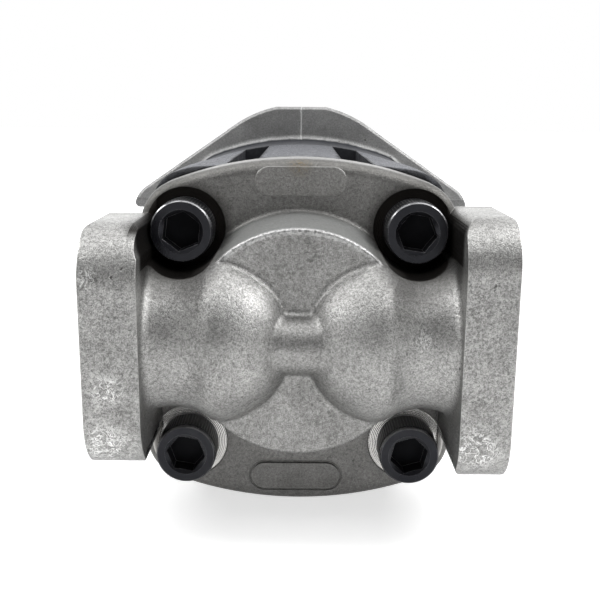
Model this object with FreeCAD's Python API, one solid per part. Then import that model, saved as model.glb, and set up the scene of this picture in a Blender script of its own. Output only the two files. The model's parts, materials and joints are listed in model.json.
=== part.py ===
import FreeCAD, Part
import math
import os

from FreeCAD import Vector

os.makedirs("parts", exist_ok=True)

# External gear pump with a two-bolt mounting flange and two flange ports on its rear cover.
# Millimetres. +Z is up, +Y runs out along the drive shaft, and the origin is where the shaft
# axis meets the mounting face. The outlet faces -X and the inlet faces +X.

# Gear pair
TOOTH_COUNT = 11
MODULE = 4.0
PRESSURE_ANGLE = math.radians(20.0)
CENTRE_DISTANCE = 45.0
TIP_RADIUS = 26.5
ROOT_GAP = 0.6
FLANK_PLAY = 0.05
GEAR_WIDTH = 60.0
FLANK_STEPS = 9

# Fits
RUNNING_GAP = 0.03
TIP_GAP = 0.05
END_GAP = 0.05
SEAL_ROOM = 0.2

# Lengths along the shaft, from the mounting face backwards
FLANGE_THICKNESS = 20.0
FRONT_COVER_DEPTH = 80.0
BLOCK_LENGTH = 31.0
PLATE_THICKNESS = 19.8

# Shared outline of the three castings
BOLT_X = 46.3
BOLT_Z = 46.4
LUG_RADIUS = 19.2
BODY_HALF_HEIGHT = 74.0
BODY_WAIST = 60.0
NOTCH_NEAR = 17.5
NOTCH_FAR = 31.0
NOTCH_DEPTH = 14.0
NOTCH_RADIUS = 4.0

# Cover bolts, M16 socket head
BOLT_RADIUS = 8.0
BOLT_LENGTH = 170.0
HEAD_RADIUS = 12.2
HEAD_HEIGHT = 16.0
HEAD_CHAMFER = 0.5
HEAD_ROOM = 0.9
SOCKET_FLATS = 14.0
SOCKET_DEPTH = 8.0
SOCKET_MOUTH_RADIUS = 8.7
SOCKET_MOUTH_DEPTH = 1.0
SOCKET_TURNS = [21.5, -7.5, 19.8, -14.0]
BOLT_HOLE_RADIUS = 8.75
BOLT_END_CHAMFER = 1.5
TAP_RUNOUT = 5.0
POCKET_RADIUS = 16.0
SPOTFACE_DEPTH = 0.8

# Rear cover boss and rib. What rises from the plate is sunk into it a little.
SINK = 1.0
OVERCUT = 1.0
BOSS_HEIGHT = 28.7
BOSS_FRONT_RADIUS = 44.9
BOSS_BASE_RADIUS = 47.8
PORT_RISE = 5.0
RIB_RADIUS = 11.5
RIB_HALF_LENGTH = 16.0
PLATE_EDGE_RADIUS = 5.0
BOSS_RIM_RADIUS = 1.2
CAST_FILLET = 3.0
BASE_FILLET = 2.5
PAD_FILLET = 4.0
FILLET_HALF_WIDTH = 45.0
BASE_HALF_WIDTH = 52.0
BASE_HALF_HEIGHT = 56.0

# Domed port channels, turned about the port axis
DOME_RADIUS = 34.5
DOME_CENTRE = 34.0
SHOULDER_RADIUS = 10.0
WAIST_RADIUS = 28.6
WAIST_X = 49.0
WAIST_ARC = 24.0
CHANNEL_END = 62.5
PORT_AXIS_RISE = 15.2

# Port flanges: height, corner radius, inner side, end roundings, bore, bolt spacing (Z, Y)
PAD_FACE_X = 79.1
PAD_WIDTH = 69.0
OUTLET_PAD_HEIGHT = 94.0
OUTLET_PAD_CORNER = 22.0
OUTLET_PAD_ROOT = 58.0
OUTLET_PAD_INNER_EDGE = 5.0
OUTLET_PAD_OUTER_EDGE = 3.0
OUTLET_BORE_RADIUS = 19.0
OUTLET_SPACING_Z = 69.9
OUTLET_SPACING_Y = 35.7
INLET_PAD_HEIGHT = 101.0
INLET_PAD_CORNER = 19.0
INLET_PAD_ROOT = 60.0
INLET_PAD_INNER_EDGE = 7.0
INLET_PAD_OUTER_EDGE = 1.5
INLET_BORE_RADIUS = 25.0
INLET_THROAT_RADIUS = 20.5
INLET_BORE_DEPTH = 15.0
INLET_TAPER_LENGTH = 12.0
INLET_SPACING_Z = 77.8
INLET_SPACING_Y = 42.9
PORT_TAP_RADIUS = 5.1
PORT_TAP_DEPTH = 14.0
PASSAGE_NEAR = 30.0
PASSAGE_FAR = 50.0
PASSAGE_HALF_HEIGHT = 17.0
PASSAGE_CORNER = 9.0
CHAMBER_HALF_HEIGHT = 14.0

# Cast pads on the rear plate
CAST_PAD_HALF_WIDTH = 5.85
TOP_PAD_LENGTH = 37.0
TOP_PAD_X = 0.5
TOP_PAD_DROP = 8.8
TOP_PAD_HEIGHT = 1.5
LOW_PAD_LENGTH = 38.0
LOW_PAD_X = -0.9
LOW_PAD_RISE = 12.0
LOW_PAD_GROOVE = 1.1
LOW_PAD_GROOVE_DEPTH = 0.6
LOW_PAD_HEIGHT = 0.4

# Two-bolt mounting flange, 181 mm between bolts, 127 mm pilot
FLANGE_RADIUS = 73.7
FLANGE_FLAT = 72.1
EAR_BOLT_X = 90.5
EAR_HALF_SPAN = 106.5
EAR_CORNER = 18.0
EAR_END_HALF = 7.0
EAR_SLOT_RADIUS = 8.75
SEAT_RADIUS = 15.0
SEAT_DEPTH = 1.2
SLOT_LIP_RADIUS = 3.0
FLANGE_BEVEL = 1.5
NECK_FILLET = 4.0
PILOT_RADIUS = 63.5
PILOT_HEIGHT = 12.7
PILOT_CHAMFER = 1.5

# Shafts and bushes
JOURNAL_RADIUS = 17.0
JOURNAL_END_GAP = 1.0
JOURNAL_CHAMFER = 1.0
SHAFT_RADIUS = 15.875
SHAFT_REACH = 55.6
SHAFT_STEP_Y = 13.5
SHAFT_CHAMFER = 1.6
SHAFT_CLEARANCE_RADIUS = 20.0
BUSH_WALL = 2.0
BUSH_INSET = 0.5
RELIEF_WIDTH = 1.5
RELIEF_DEPTH = 0.4
CENTRE_DRILL_RADIUS = 4.0
KEY_SIZE = 7.94
KEY_LENGTH = 38.1
KEY_END_GAP = 4.0

# Dowels
DOWEL_RADIUS = 4.0
DOWEL_LENGTH = 20.0
DOWEL_Z = 64.0
DOWEL_RUNOUT = 0.5
DOWEL_CHAMFER = 0.6

# Static seals
BODY_SEAL_WIDTH = 3.0
BODY_SEAL_HEIGHT = 2.0
FRONT_SEAL_RADIUS = 31.5
REAR_SEAL_RADIUS = 32.0
REAR_SEAL_REACH = 54.5
REAR_SEAL_CORNER = 10.0
REAR_SEAL_CORNER_Z = 11.0
BALANCE_INNER = 20.8
BALANCE_SPLIT = 23.4
BALANCE_OUTER = 24.4
BALANCE_DEPTH = 2.4

# Shaft seals
SEAL_BORE_RADIUS = 26.0
SEAL_WIDTH = 8.0
SEAL_CASE_WALL = 1.0
SEAL_CASE_HOLE = 20.5
OUTER_SEAL_Y = 9.4
INNER_SEAL_Y = 0.9
SEAL_BORE_FLOOR = -8.0
SPRING_RADIUS = 19.95
SPRING_WIRE = 0.7
SPRING_SETBACK = 5.9
SPRING_BED_GAP = 0.02
LIP_WEB = 1.4
LIP_BORE_GAP = 1.3
LIP_BORE_LENGTH = 4.2
LIP_SHOULDER = 3.3
LIP_NECK = 2.7
LIP_NECK_SETBACK = 4.4
LIP_HEEL = 2.9
LIP_HEEL_INNER = 1.0
LIP_LENGTH = 7.2
RING_GROOVE_RADIUS = 27.4
RING_GROOVE_Y = 9.5
RING_THICKNESS = 1.6
RING_RADIAL = 3.6
RING_END_PLAY = 0.05
RING_SEAT_PLAY = 0.1
RING_LUG_RADIUS = 3.0
RING_EYE_RADIUS = 1.2
RING_EYE_INSET = 0.2
RING_GAP_ANGLE = 36.0

# Derived stations
MID_Z = -CENTRE_DISTANCE / 2.0
HOUSING_FRONT_Y = -FRONT_COVER_DEPTH
HOUSING_REAR_Y = HOUSING_FRONT_Y - GEAR_WIDTH - 2.0 * BLOCK_LENGTH
PLATE_Y = HOUSING_REAR_Y - PLATE_THICKNESS
SEAT_Y = PLATE_Y + SPOTFACE_DEPTH
BOSS_Y = PLATE_Y - BOSS_HEIGHT
PORT_Y = PLATE_Y - PORT_AXIS_RISE
PORT_Z = MID_Z + PORT_RISE
GEAR_FRONT_Y = HOUSING_FRONT_Y - BLOCK_LENGTH
GEAR_REAR_Y = GEAR_FRONT_Y - GEAR_WIDTH
BUSH_RADIUS = JOURNAL_RADIUS + BUSH_WALL
DOWEL_HOLE_DEPTH = DOWEL_LENGTH / 2.0 + DOWEL_RUNOUT
CORNERS = [(1, 1), (-1, 1), (-1, -1), (1, -1)]
SHAFT_AXES = [0.0, -CENTRE_DISTANCE]


def at(x, z, y=0.0):
    return Vector(x, y, z)


def rod(x, z, y_from, y_to, radius):
    return Part.makeCylinder(radius, y_to - y_from, at(x, z, y_from), Vector(0, 1, 0))


def tube(z, y_from, y_to, inner, outer):
    return rod(0, z, y_from, y_to, outer).cut(rod(0, z, y_from, y_to, inner))


def block(x_from, x_to, y_from, y_to, z_from, z_to):
    corner = Vector(x_from, y_from, z_from)
    return Part.makeBox(x_to - x_from, y_to - y_from, z_to - z_from, corner)


def prism(wire, y_from, y_to):
    face = Part.Face(wire)
    face.translate(Vector(0, y_from, 0))
    return face.extrude(Vector(0, y_to - y_from, 0))


def ring(profile):
    # Closed (radius, y) polygon turned about the drive shaft's axis
    points = [at(radius, 0, y) for radius, y in profile]
    wire = Part.makePolygon(points + [points[0]])
    return Part.Face(wire).revolve(at(0, 0), Vector(0, 1, 0), 360)


def belt(circles):
    # Tight outline round circles (x, z, radius) listed anticlockwise in the XZ plane
    count = len(circles)
    normals = []
    for index in range(count):
        x1, z1, r1 = circles[index]
        x2, z2, r2 = circles[(index + 1) % count]
        span = math.hypot(x2 - x1, z2 - z1)
        along_x = (x2 - x1) / span
        along_z = (z2 - z1) / span
        lean = (r1 - r2) / span
        side = math.sqrt(1.0 - lean * lean)
        normals.append(math.atan2(along_z * lean - along_x * side, along_x * lean + along_z * side))
    edges = []
    for index in range(count):
        x, z, radius = circles[index]
        start = normals[index - 1]
        turn = (normals[index] - start) % (2.0 * math.pi)
        stops = [start, start + turn / 2.0, start + turn]
        arc = [at(x + radius * math.cos(a), z + radius * math.sin(a)) for a in stops]
        edges.append(Part.Arc(arc[0], arc[1], arc[2]).toShape())
        following = circles[(index + 1) % count]
        angle = normals[index]
        landing = at(
            following[0] + following[2] * math.cos(angle),
            following[1] + following[2] * math.sin(angle),
        )
        if landing.distanceToPoint(arc[2]) > 1e-6:
            edges.append(Part.makeLine(arc[2], landing))
    return Part.Wire(edges)


def slot(x_near, x_far, z_mid, half_height, corner):
    return belt([
        (x_far - corner, z_mid + half_height - corner, corner),
        (x_near + corner, z_mid + half_height - corner, corner),
        (x_near + corner, z_mid - half_height + corner, corner),
        (x_far - corner, z_mid - half_height + corner, corner),
    ])


def casting_outline():
    # Four bolt lugs joined by wide arcs above and below and by shallow hollows at the sides
    reach = BODY_HALF_HEIGHT - LUG_RADIUS
    bolt_square = BOLT_X ** 2 + BOLT_Z ** 2
    drop = (bolt_square - reach ** 2) / (2.0 * (reach - BOLT_Z))
    waist = BODY_WAIST - LUG_RADIUS
    hollow_x = (bolt_square - waist ** 2) / (2.0 * (BOLT_X - waist))
    crown = math.atan2(BOLT_Z + drop, BOLT_X)
    hollow = math.atan2(-BOLT_Z, hollow_x - BOLT_X)
    edges = []

    def lug_point(sx, sz, angle):
        return at(
            sx * (BOLT_X + LUG_RADIUS * math.cos(angle)),
            MID_Z + sz * (BOLT_Z + LUG_RADIUS * math.sin(angle)),
        )

    middle = (crown + hollow) / 2.0
    for sx, sz in CORNERS:
        arc = [lug_point(sx, sz, a) for a in (hollow, middle, crown)]
        edges.append(Part.Arc(arc[0], arc[1], arc[2]).toShape())
    for sz in (1, -1):
        top = at(0, MID_Z + sz * BODY_HALF_HEIGHT)
        edges.append(Part.Arc(lug_point(1, sz, crown), top, lug_point(-1, sz, crown)).toShape())
    for sx in (1, -1):
        side = at(sx * BODY_WAIST, MID_Z)
        edges.append(Part.Arc(lug_point(sx, 1, hollow), side, lug_point(sx, -1, hollow)).toShape())
    return Part.Wire(Part.__sortEdges__(edges))


def bolt_places():
    return [(sx * BOLT_X, MID_Z + sz * BOLT_Z) for sx, sz in CORNERS]


def dowel_places():
    return [(0.0, MID_Z + DOWEL_Z), (0.0, MID_Z - DOWEL_Z)]


def front_seal_belt(shift):
    radius = FRONT_SEAL_RADIUS + shift
    return belt([(0, 0, radius), (0, -CENTRE_DISTANCE, radius)])


def rear_seal_belt(shift):
    main = REAR_SEAL_RADIUS + shift
    corner = REAR_SEAL_CORNER + shift
    corner_x = REAR_SEAL_REACH - REAR_SEAL_CORNER
    high = MID_Z + REAR_SEAL_CORNER_Z
    low = MID_Z - REAR_SEAL_CORNER_Z
    return belt([
        (corner_x, low, corner), (corner_x, high, corner), (0, 0, main),
        (-corner_x, high, corner), (-corner_x, low, corner), (0, -CENTRE_DISTANCE, main),
    ])


def seal_loop(outline, width, y_from, y_to):
    return prism(outline(width / 2.0), y_from, y_to).cut(prism(outline(-width / 2.0), y_from, y_to))


def channel_face():
    # Half section of one channel in the plane of the port axis: dome, shoulder, waist, flare
    dome = Vector(DOME_CENTRE, 0, 0)
    waist = Vector(WAIST_X, 0, WAIST_RADIUS + WAIST_ARC)
    near = DOME_RADIUS - SHOULDER_RADIUS
    far = WAIST_ARC + SHOULDER_RADIUS
    gap = waist - dome
    span = gap.Length
    along = (near ** 2 - far ** 2 + span ** 2) / (2.0 * span)
    aside = math.sqrt(near ** 2 - along ** 2)
    unit = gap * (1.0 / span)
    shoulder = dome + unit * along + Vector(-unit.z, 0, unit.x) * aside
    tip = dome - Vector(DOME_RADIUS, 0, 0)
    on_dome = dome + (shoulder - dome) * (DOME_RADIUS / near)
    on_waist = shoulder + (waist - shoulder) * (SHOULDER_RADIUS / far)
    dome_mid = dome + Vector(-1, 0, 1) * (DOME_RADIUS / math.sqrt(2.0))
    crest = shoulder + (on_dome + on_waist - shoulder * 2.0).normalize() * SHOULDER_RADIUS
    low = waist - Vector(0, 0, WAIST_ARC)
    rise = WAIST_ARC - math.sqrt(WAIST_ARC ** 2 - (CHANNEL_END - WAIST_X) ** 2)
    end = Vector(CHANNEL_END, 0, WAIST_RADIUS + rise)
    foot = Vector(CHANNEL_END, 0, 0)
    edges = [
        Part.Arc(tip, dome_mid, on_dome).toShape(),
        Part.Arc(on_dome, crest, on_waist).toShape(),
        Part.Arc(on_waist, low, end).toShape(),
        Part.makeLine(end, foot),
        Part.makeLine(foot, tip),
    ]
    return Part.Face(Part.Wire(edges))


def port_channel(side):
    half = channel_face()
    turned = half.revolve(Vector(0, 0, 0), Vector(1, 0, 0), 180)
    upper = half.extrude(Vector(0, PORT_AXIS_RISE + SINK, 0))
    lower = upper.mirror(Vector(0, 0, 0), Vector(0, 0, 1))
    solid = turned.fuse([upper, lower]).removeSplitter()
    if side < 0:
        solid = solid.mirror(Vector(0, 0, 0), Vector(1, 0, 0))
    solid.translate(Vector(0, PORT_Y, PORT_Z))
    return solid


def port_pad(side, height, corner, root, inner_edge, outer_edge):
    outline = belt([
        (PAD_WIDTH / 2.0 - corner, height / 2.0 - corner, corner),
        (corner - PAD_WIDTH / 2.0, height / 2.0 - corner, corner),
        (corner - PAD_WIDTH / 2.0, corner - height / 2.0, corner),
        (PAD_WIDTH / 2.0 - corner, corner - height / 2.0, corner),
    ])
    pad = prism(outline, root, PAD_FACE_X)
    pad.rotate(Vector(0, 0, 0), Vector(0, 0, 1), -90)
    rounded = belt([
        (PAD_FACE_X - outer_edge, height / 2.0 - outer_edge, outer_edge),
        (root + inner_edge, height / 2.0 - inner_edge, inner_edge),
        (root + inner_edge, inner_edge - height / 2.0, inner_edge),
        (PAD_FACE_X - outer_edge, outer_edge - height / 2.0, outer_edge),
    ])
    pad = pad.common(prism(rounded, -PAD_WIDTH / 2.0, PAD_WIDTH / 2.0))
    if side < 0:
        pad = pad.mirror(Vector(0, 0, 0), Vector(1, 0, 0))
    pad.translate(Vector(0, PORT_Y, PORT_Z))
    return pad


def port_taps(side, spacing_y, spacing_z):
    taps = []
    direction = Vector(-side, 0, 0)
    for sy, sz in CORNERS:
        mouth = Vector(side * PAD_FACE_X, PORT_Y + sy * spacing_y / 2.0, PORT_Z + sz * spacing_z / 2.0)
        taps.append(Part.makeCylinder(PORT_TAP_RADIUS, PORT_TAP_DEPTH, mouth, direction))
        floor = mouth + direction * PORT_TAP_DEPTH
        taps.append(Part.makeCone(PORT_TAP_RADIUS, 0, PORT_TAP_RADIUS * 0.3, floor, direction))
    return taps


def outlet_bore():
    start = Vector(-PASSAGE_NEAR, PORT_Y, PORT_Z)
    return Part.makeCylinder(OUTLET_BORE_RADIUS, PAD_FACE_X - PASSAGE_NEAR, start, Vector(-1, 0, 0))


def inlet_bore():
    start = Vector(PASSAGE_NEAR, PORT_Y, PORT_Z)
    taper_end = PAD_FACE_X - INLET_BORE_DEPTH
    taper_start = taper_end - INLET_TAPER_LENGTH
    forward = Vector(1, 0, 0)
    throat = Part.makeCylinder(INLET_THROAT_RADIUS, taper_start - PASSAGE_NEAR, start, forward)
    cone_foot = Vector(taper_start, PORT_Y, PORT_Z)
    cone = Part.makeCone(INLET_THROAT_RADIUS, INLET_BORE_RADIUS, INLET_TAPER_LENGTH, cone_foot, forward)
    mouth_foot = Vector(taper_end, PORT_Y, PORT_Z)
    mouth = Part.makeCylinder(INLET_BORE_RADIUS, INLET_BORE_DEPTH, mouth_foot, forward)
    return throat.fuse([cone, mouth])


def passage(side, y_from, y_to):
    outline = slot(PASSAGE_NEAR, PASSAGE_FAR, MID_Z, PASSAGE_HALF_HEIGHT, PASSAGE_CORNER)
    solid = prism(outline, y_from, y_to)
    if side < 0:
        solid = solid.mirror(Vector(0, 0, 0), Vector(1, 0, 0))
    return solid


def stadium(x, z, length, half_width, y_from, y_to):
    shift = length / 2.0 - half_width
    return prism(belt([(x + shift, z, half_width), (x - shift, z, half_width)]), y_from, y_to)


def rim_edges(shape, y):
    found = []
    for edge in shape.Edges:
        box = edge.BoundBox
        if abs(box.YMin - y) < 0.05 and abs(box.YMax - y) < 0.05:
            found.append(edge)
    return found


def middle_of(edge):
    return edge.valueAt((edge.FirstParameter + edge.LastParameter) / 2.0)


def inner_corners(shape, wanted):
    # Edges where two faces meet in a hollow corner: the places where a casting has a fillet
    found = []
    for edge in shape.Edges:
        point = middle_of(edge)
        faces = shape.ancestorsOfType(edge, Part.Face)
        if len(faces) != 2 or not wanted(point):
            continue
        normals = [face.normalAt(*face.Surface.parameter(point)) for face in faces]
        if normals[0].getAngle(normals[1]) < 0.2:
            continue
        probe = 0.3
        open_side = point + (normals[0] + normals[1]) * probe
        first_side = point + (normals[1] - normals[0]) * probe
        second_side = point + (normals[0] - normals[1]) * probe
        walls = [shape.isInside(side, 1e-4, True) for side in (open_side, first_side, second_side)]
        if walls == [False, True, True]:
            found.append(edge)
    return found


def flanged_channel(side, *pad_sizes):
    solid = port_channel(side).fuse(port_pad(side, *pad_sizes)).removeSplitter()
    return solid.makeFillet(PAD_FILLET, inner_corners(solid, lambda point: point.y < PLATE_Y))


def rear_boss():
    # Boss, channels and rib on a thin slab, with cast fillets in every hollow corner
    boss = Part.makeCone(
        BOSS_FRONT_RADIUS, BOSS_BASE_RADIUS, BOSS_HEIGHT + SINK, at(0, PORT_Z, BOSS_Y), Vector(0, 1, 0)
    )
    boss = boss.makeFillet(BOSS_RIM_RADIUS, rim_edges(boss, BOSS_Y))
    rib = Part.makeCylinder(
        RIB_RADIUS, 2.0 * RIB_HALF_LENGTH, Vector(-RIB_HALF_LENGTH, BOSS_Y, PORT_Z), Vector(1, 0, 0)
    )
    solid = boss.fuse([
        rib,
        flanged_channel(
            1, INLET_PAD_HEIGHT, INLET_PAD_CORNER, INLET_PAD_ROOT, INLET_PAD_INNER_EDGE, INLET_PAD_OUTER_EDGE
        ),
        flanged_channel(
            -1, OUTLET_PAD_HEIGHT, OUTLET_PAD_CORNER, OUTLET_PAD_ROOT,
            OUTLET_PAD_INNER_EDGE, OUTLET_PAD_OUTER_EDGE,
        ),
    ]).removeSplitter()
    solid = solid.makeFillet(CAST_FILLET, inner_corners(
        solid, lambda point: point.y < PLATE_Y - 0.3 and abs(point.x) < FILLET_HALF_WIDTH
    ))
    base = block(
        -BASE_HALF_WIDTH, BASE_HALF_WIDTH, PLATE_Y, PLATE_Y + SINK,
        PORT_Z - BASE_HALF_HEIGHT, PORT_Z + BASE_HALF_HEIGHT,
    )
    solid = solid.fuse(base).removeSplitter()
    return solid.makeFillet(BASE_FILLET, inner_corners(
        solid, lambda point: abs(point.y - PLATE_Y) < 0.1 and abs(point.x) < BASE_HALF_WIDTH
    ))


def screw_pocket(x, z):
    # Wide recess down to the seat between the port flanges, and room for the head past them
    front = PORT_Y - DOME_RADIUS - OVERCUT
    reach = POCKET_RADIUS + OVERCUT
    between = block(-OUTLET_PAD_ROOT, INLET_PAD_ROOT, front, SEAT_Y, z - reach, z + reach)
    wide = rod(x, z, front, SEAT_Y, POCKET_RADIUS).common(between)
    return wide.fuse(rod(x, z, front, SEAT_Y, HEAD_RADIUS + HEAD_ROOM)).removeSplitter()


def make_rear_cover():
    plate = prism(casting_outline(), PLATE_Y, HOUSING_REAR_Y)
    plate = plate.makeFillet(PLATE_EDGE_RADIUS, rim_edges(plate, PLATE_Y))
    top_pad = stadium(
        TOP_PAD_X, MID_Z + BODY_HALF_HEIGHT - TOP_PAD_DROP, TOP_PAD_LENGTH, CAST_PAD_HALF_WIDTH,
        PLATE_Y - TOP_PAD_HEIGHT, PLATE_Y + SINK,
    )
    low_z = MID_Z - BODY_HALF_HEIGHT + LOW_PAD_RISE
    low_pad = stadium(
        LOW_PAD_X, low_z, LOW_PAD_LENGTH, CAST_PAD_HALF_WIDTH, PLATE_Y - LOW_PAD_HEIGHT, PLATE_Y + SINK
    )
    low_groove = stadium(
        LOW_PAD_X, low_z, LOW_PAD_LENGTH + 2.0 * LOW_PAD_GROOVE, CAST_PAD_HALF_WIDTH + LOW_PAD_GROOVE,
        PLATE_Y - OVERCUT, PLATE_Y + LOW_PAD_GROOVE_DEPTH,
    )
    plate = plate.cut(low_groove)
    body = plate.fuse([rear_boss(), top_pad, low_pad])
    holes = [outlet_bore(), inlet_bore()]
    holes += [passage(side, PORT_Y, HOUSING_REAR_Y) for side in (1, -1)]
    holes += port_taps(1, INLET_SPACING_Y, INLET_SPACING_Z)
    holes += port_taps(-1, OUTLET_SPACING_Y, OUTLET_SPACING_Z)
    for x, z in bolt_places():
        holes.append(screw_pocket(x, z))
        holes.append(rod(x, z, SEAT_Y, HOUSING_REAR_Y, BOLT_HOLE_RADIUS))
    for x, z in dowel_places():
        holes.append(rod(x, z, HOUSING_REAR_Y - DOWEL_HOLE_DEPTH, HOUSING_REAR_Y, DOWEL_RADIUS))
    return body.cut(holes).removeSplitter()


def make_gear_housing():
    body = prism(casting_outline(), HOUSING_REAR_Y, HOUSING_FRONT_Y)
    cuts = []
    top = BODY_HALF_HEIGHT + NOTCH_RADIUS * 2.0
    floor = BODY_HALF_HEIGHT - NOTCH_DEPTH
    middle = (top + floor) / 2.0
    half = (top - floor) / 2.0
    notch = prism(
        slot(NOTCH_NEAR, NOTCH_FAR, middle, half, NOTCH_RADIUS), HOUSING_REAR_Y, HOUSING_FRONT_Y
    )
    for angle in (0, 180):
        one = notch.copy()
        one.rotate(Vector(0, 0, 0), Vector(0, 1, 0), angle)
        one.translate(Vector(0, 0, MID_Z))
        cuts.append(one)
        other = one.mirror(Vector(0, 0, 0), Vector(1, 0, 0))
        cuts.append(other)
    for z in SHAFT_AXES:
        cuts.append(rod(0, z, HOUSING_REAR_Y, HOUSING_FRONT_Y, TIP_RADIUS + TIP_GAP))
    for side in (1, -1):
        cuts.append(passage(side, HOUSING_REAR_Y, GEAR_FRONT_Y))
    cuts.append(block(
        PASSAGE_CORNER - PASSAGE_FAR, PASSAGE_FAR - PASSAGE_CORNER, GEAR_REAR_Y, GEAR_FRONT_Y,
        MID_Z - CHAMBER_HALF_HEIGHT, MID_Z + CHAMBER_HALF_HEIGHT,
    ))
    for x, z in bolt_places():
        cuts.append(rod(x, z, HOUSING_REAR_Y, HOUSING_FRONT_Y, BOLT_HOLE_RADIUS))
    for x, z in dowel_places():
        cuts.append(rod(x, z, HOUSING_REAR_Y, HOUSING_REAR_Y + DOWEL_HOLE_DEPTH, DOWEL_RADIUS))
        cuts.append(rod(x, z, HOUSING_FRONT_Y - DOWEL_HOLE_DEPTH, HOUSING_FRONT_Y, DOWEL_RADIUS))
    width = BODY_SEAL_WIDTH + 2.0 * SEAL_ROOM
    cuts.append(seal_loop(rear_seal_belt, width, HOUSING_REAR_Y, HOUSING_REAR_Y + BODY_SEAL_HEIGHT))
    cuts.append(seal_loop(front_seal_belt, width, HOUSING_FRONT_Y - BODY_SEAL_HEIGHT, HOUSING_FRONT_Y))
    return body.cut(cuts).removeSplitter()


def slot_lips(shape):
    found = []
    for edge in shape.Edges:
        point = middle_of(edge)
        at_mouth = abs(point.x) > EAR_HALF_SPAN - 1.0 and abs(abs(point.z) - EAR_SLOT_RADIUS) < 0.05
        if at_mouth and edge.BoundBox.YLength > FLANGE_THICKNESS / 2.0:
            found.append(edge)
    return found


def make_front_cover():
    ear_x = EAR_HALF_SPAN - EAR_CORNER
    outline = belt([
        (ear_x, -EAR_END_HALF, EAR_CORNER), (ear_x, EAR_END_HALF, EAR_CORNER), (0, 0, FLANGE_RADIUS),
        (-ear_x, EAR_END_HALF, EAR_CORNER), (-ear_x, -EAR_END_HALF, EAR_CORNER), (0, 0, FLANGE_RADIUS),
    ])
    flange = prism(outline, -FLANGE_THICKNESS, 0)
    flange = flange.common(block(
        -EAR_HALF_SPAN - 1, EAR_HALF_SPAN + 1, -FLANGE_THICKNESS, 0, -FLANGE_FLAT, FLANGE_FLAT
    ))
    flange = flange.makeChamfer(FLANGE_BEVEL, rim_edges(flange, -FLANGE_THICKNESS))
    neck = prism(casting_outline(), HOUSING_FRONT_Y, SINK - FLANGE_THICKNESS)
    pilot = rod(0, 0, 0, PILOT_HEIGHT, PILOT_RADIUS)
    pilot = pilot.makeChamfer(PILOT_CHAMFER, rim_edges(pilot, PILOT_HEIGHT))
    body = flange.fuse(neck).removeSplitter()
    body = body.makeFillet(NECK_FILLET, inner_corners(
        body, lambda point: abs(point.y + FLANGE_THICKNESS) < 0.1
    ))
    body = body.fuse(pilot)
    cuts = []
    for side in (1, -1):
        outer = side * (EAR_HALF_SPAN + 2.0 * SEAT_RADIUS)
        centre = side * EAR_BOLT_X
        pair = [(max(outer, centre), 0), (min(outer, centre), 0)]
        slot_belt = belt([(x, z, EAR_SLOT_RADIUS) for x, z in pair])
        cuts.append(prism(slot_belt, -FLANGE_THICKNESS, 0))
        seat_belt = belt([(x, z, SEAT_RADIUS) for x, z in pair])
        cuts.append(prism(seat_belt, -FLANGE_THICKNESS - OVERCUT, SEAT_DEPTH - FLANGE_THICKNESS))
    cuts.append(rod(0, 0, HOUSING_FRONT_Y, PILOT_HEIGHT, SHAFT_CLEARANCE_RADIUS))
    cuts.append(rod(0, 0, SEAL_BORE_FLOOR, PILOT_HEIGHT, SEAL_BORE_RADIUS))
    ring_room = RING_THICKNESS + 2.0 * RING_END_PLAY
    cuts.append(rod(0, 0, RING_GROOVE_Y, RING_GROOVE_Y + ring_room, RING_GROOVE_RADIUS))
    for x, z in bolt_places():
        cuts.append(rod(x, z, HOUSING_FRONT_Y, SEAT_Y + BOLT_LENGTH + TAP_RUNOUT, BOLT_RADIUS))
    for x, z in dowel_places():
        cuts.append(rod(x, z, HOUSING_FRONT_Y, HOUSING_FRONT_Y + DOWEL_HOLE_DEPTH, DOWEL_RADIUS))
    body = body.cut(cuts).removeSplitter()
    return body.makeFillet(SLOT_LIP_RADIUS, slot_lips(body))


def make_cover_bolts():
    socket_radius = SOCKET_FLATS / math.sqrt(3.0)
    bolts = []
    for (x, z), turn in zip(bolt_places(), SOCKET_TURNS):
        head = rod(x, z, SEAT_Y - HEAD_HEIGHT, SEAT_Y, HEAD_RADIUS)
        head = head.makeChamfer(HEAD_CHAMFER, rim_edges(head, SEAT_Y - HEAD_HEIGHT))
        shank = rod(x, z, SEAT_Y, SEAT_Y + BOLT_LENGTH, BOLT_RADIUS)
        shank = shank.makeChamfer(BOLT_END_CHAMFER, rim_edges(shank, SEAT_Y + BOLT_LENGTH))
        corners = []
        for index in range(7):
            angle = math.radians(30.0 + turn + 60.0 * index)
            corners.append(at(x + socket_radius * math.cos(angle), z + socket_radius * math.sin(angle)))
        top = SEAT_Y - HEAD_HEIGHT
        socket = prism(Part.makePolygon(corners), top, top + SOCKET_DEPTH)
        mouth = Part.makeCone(
            SOCKET_MOUTH_RADIUS, SOCKET_FLATS / 2.0, SOCKET_MOUTH_DEPTH, at(x, z, top), Vector(0, 1, 0)
        )
        bolts.append(head.fuse(shank).removeSplitter().cut([socket, mouth]))
    return Part.makeCompound(bolts)


def involute(angle):
    return math.tan(angle) - angle


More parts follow.
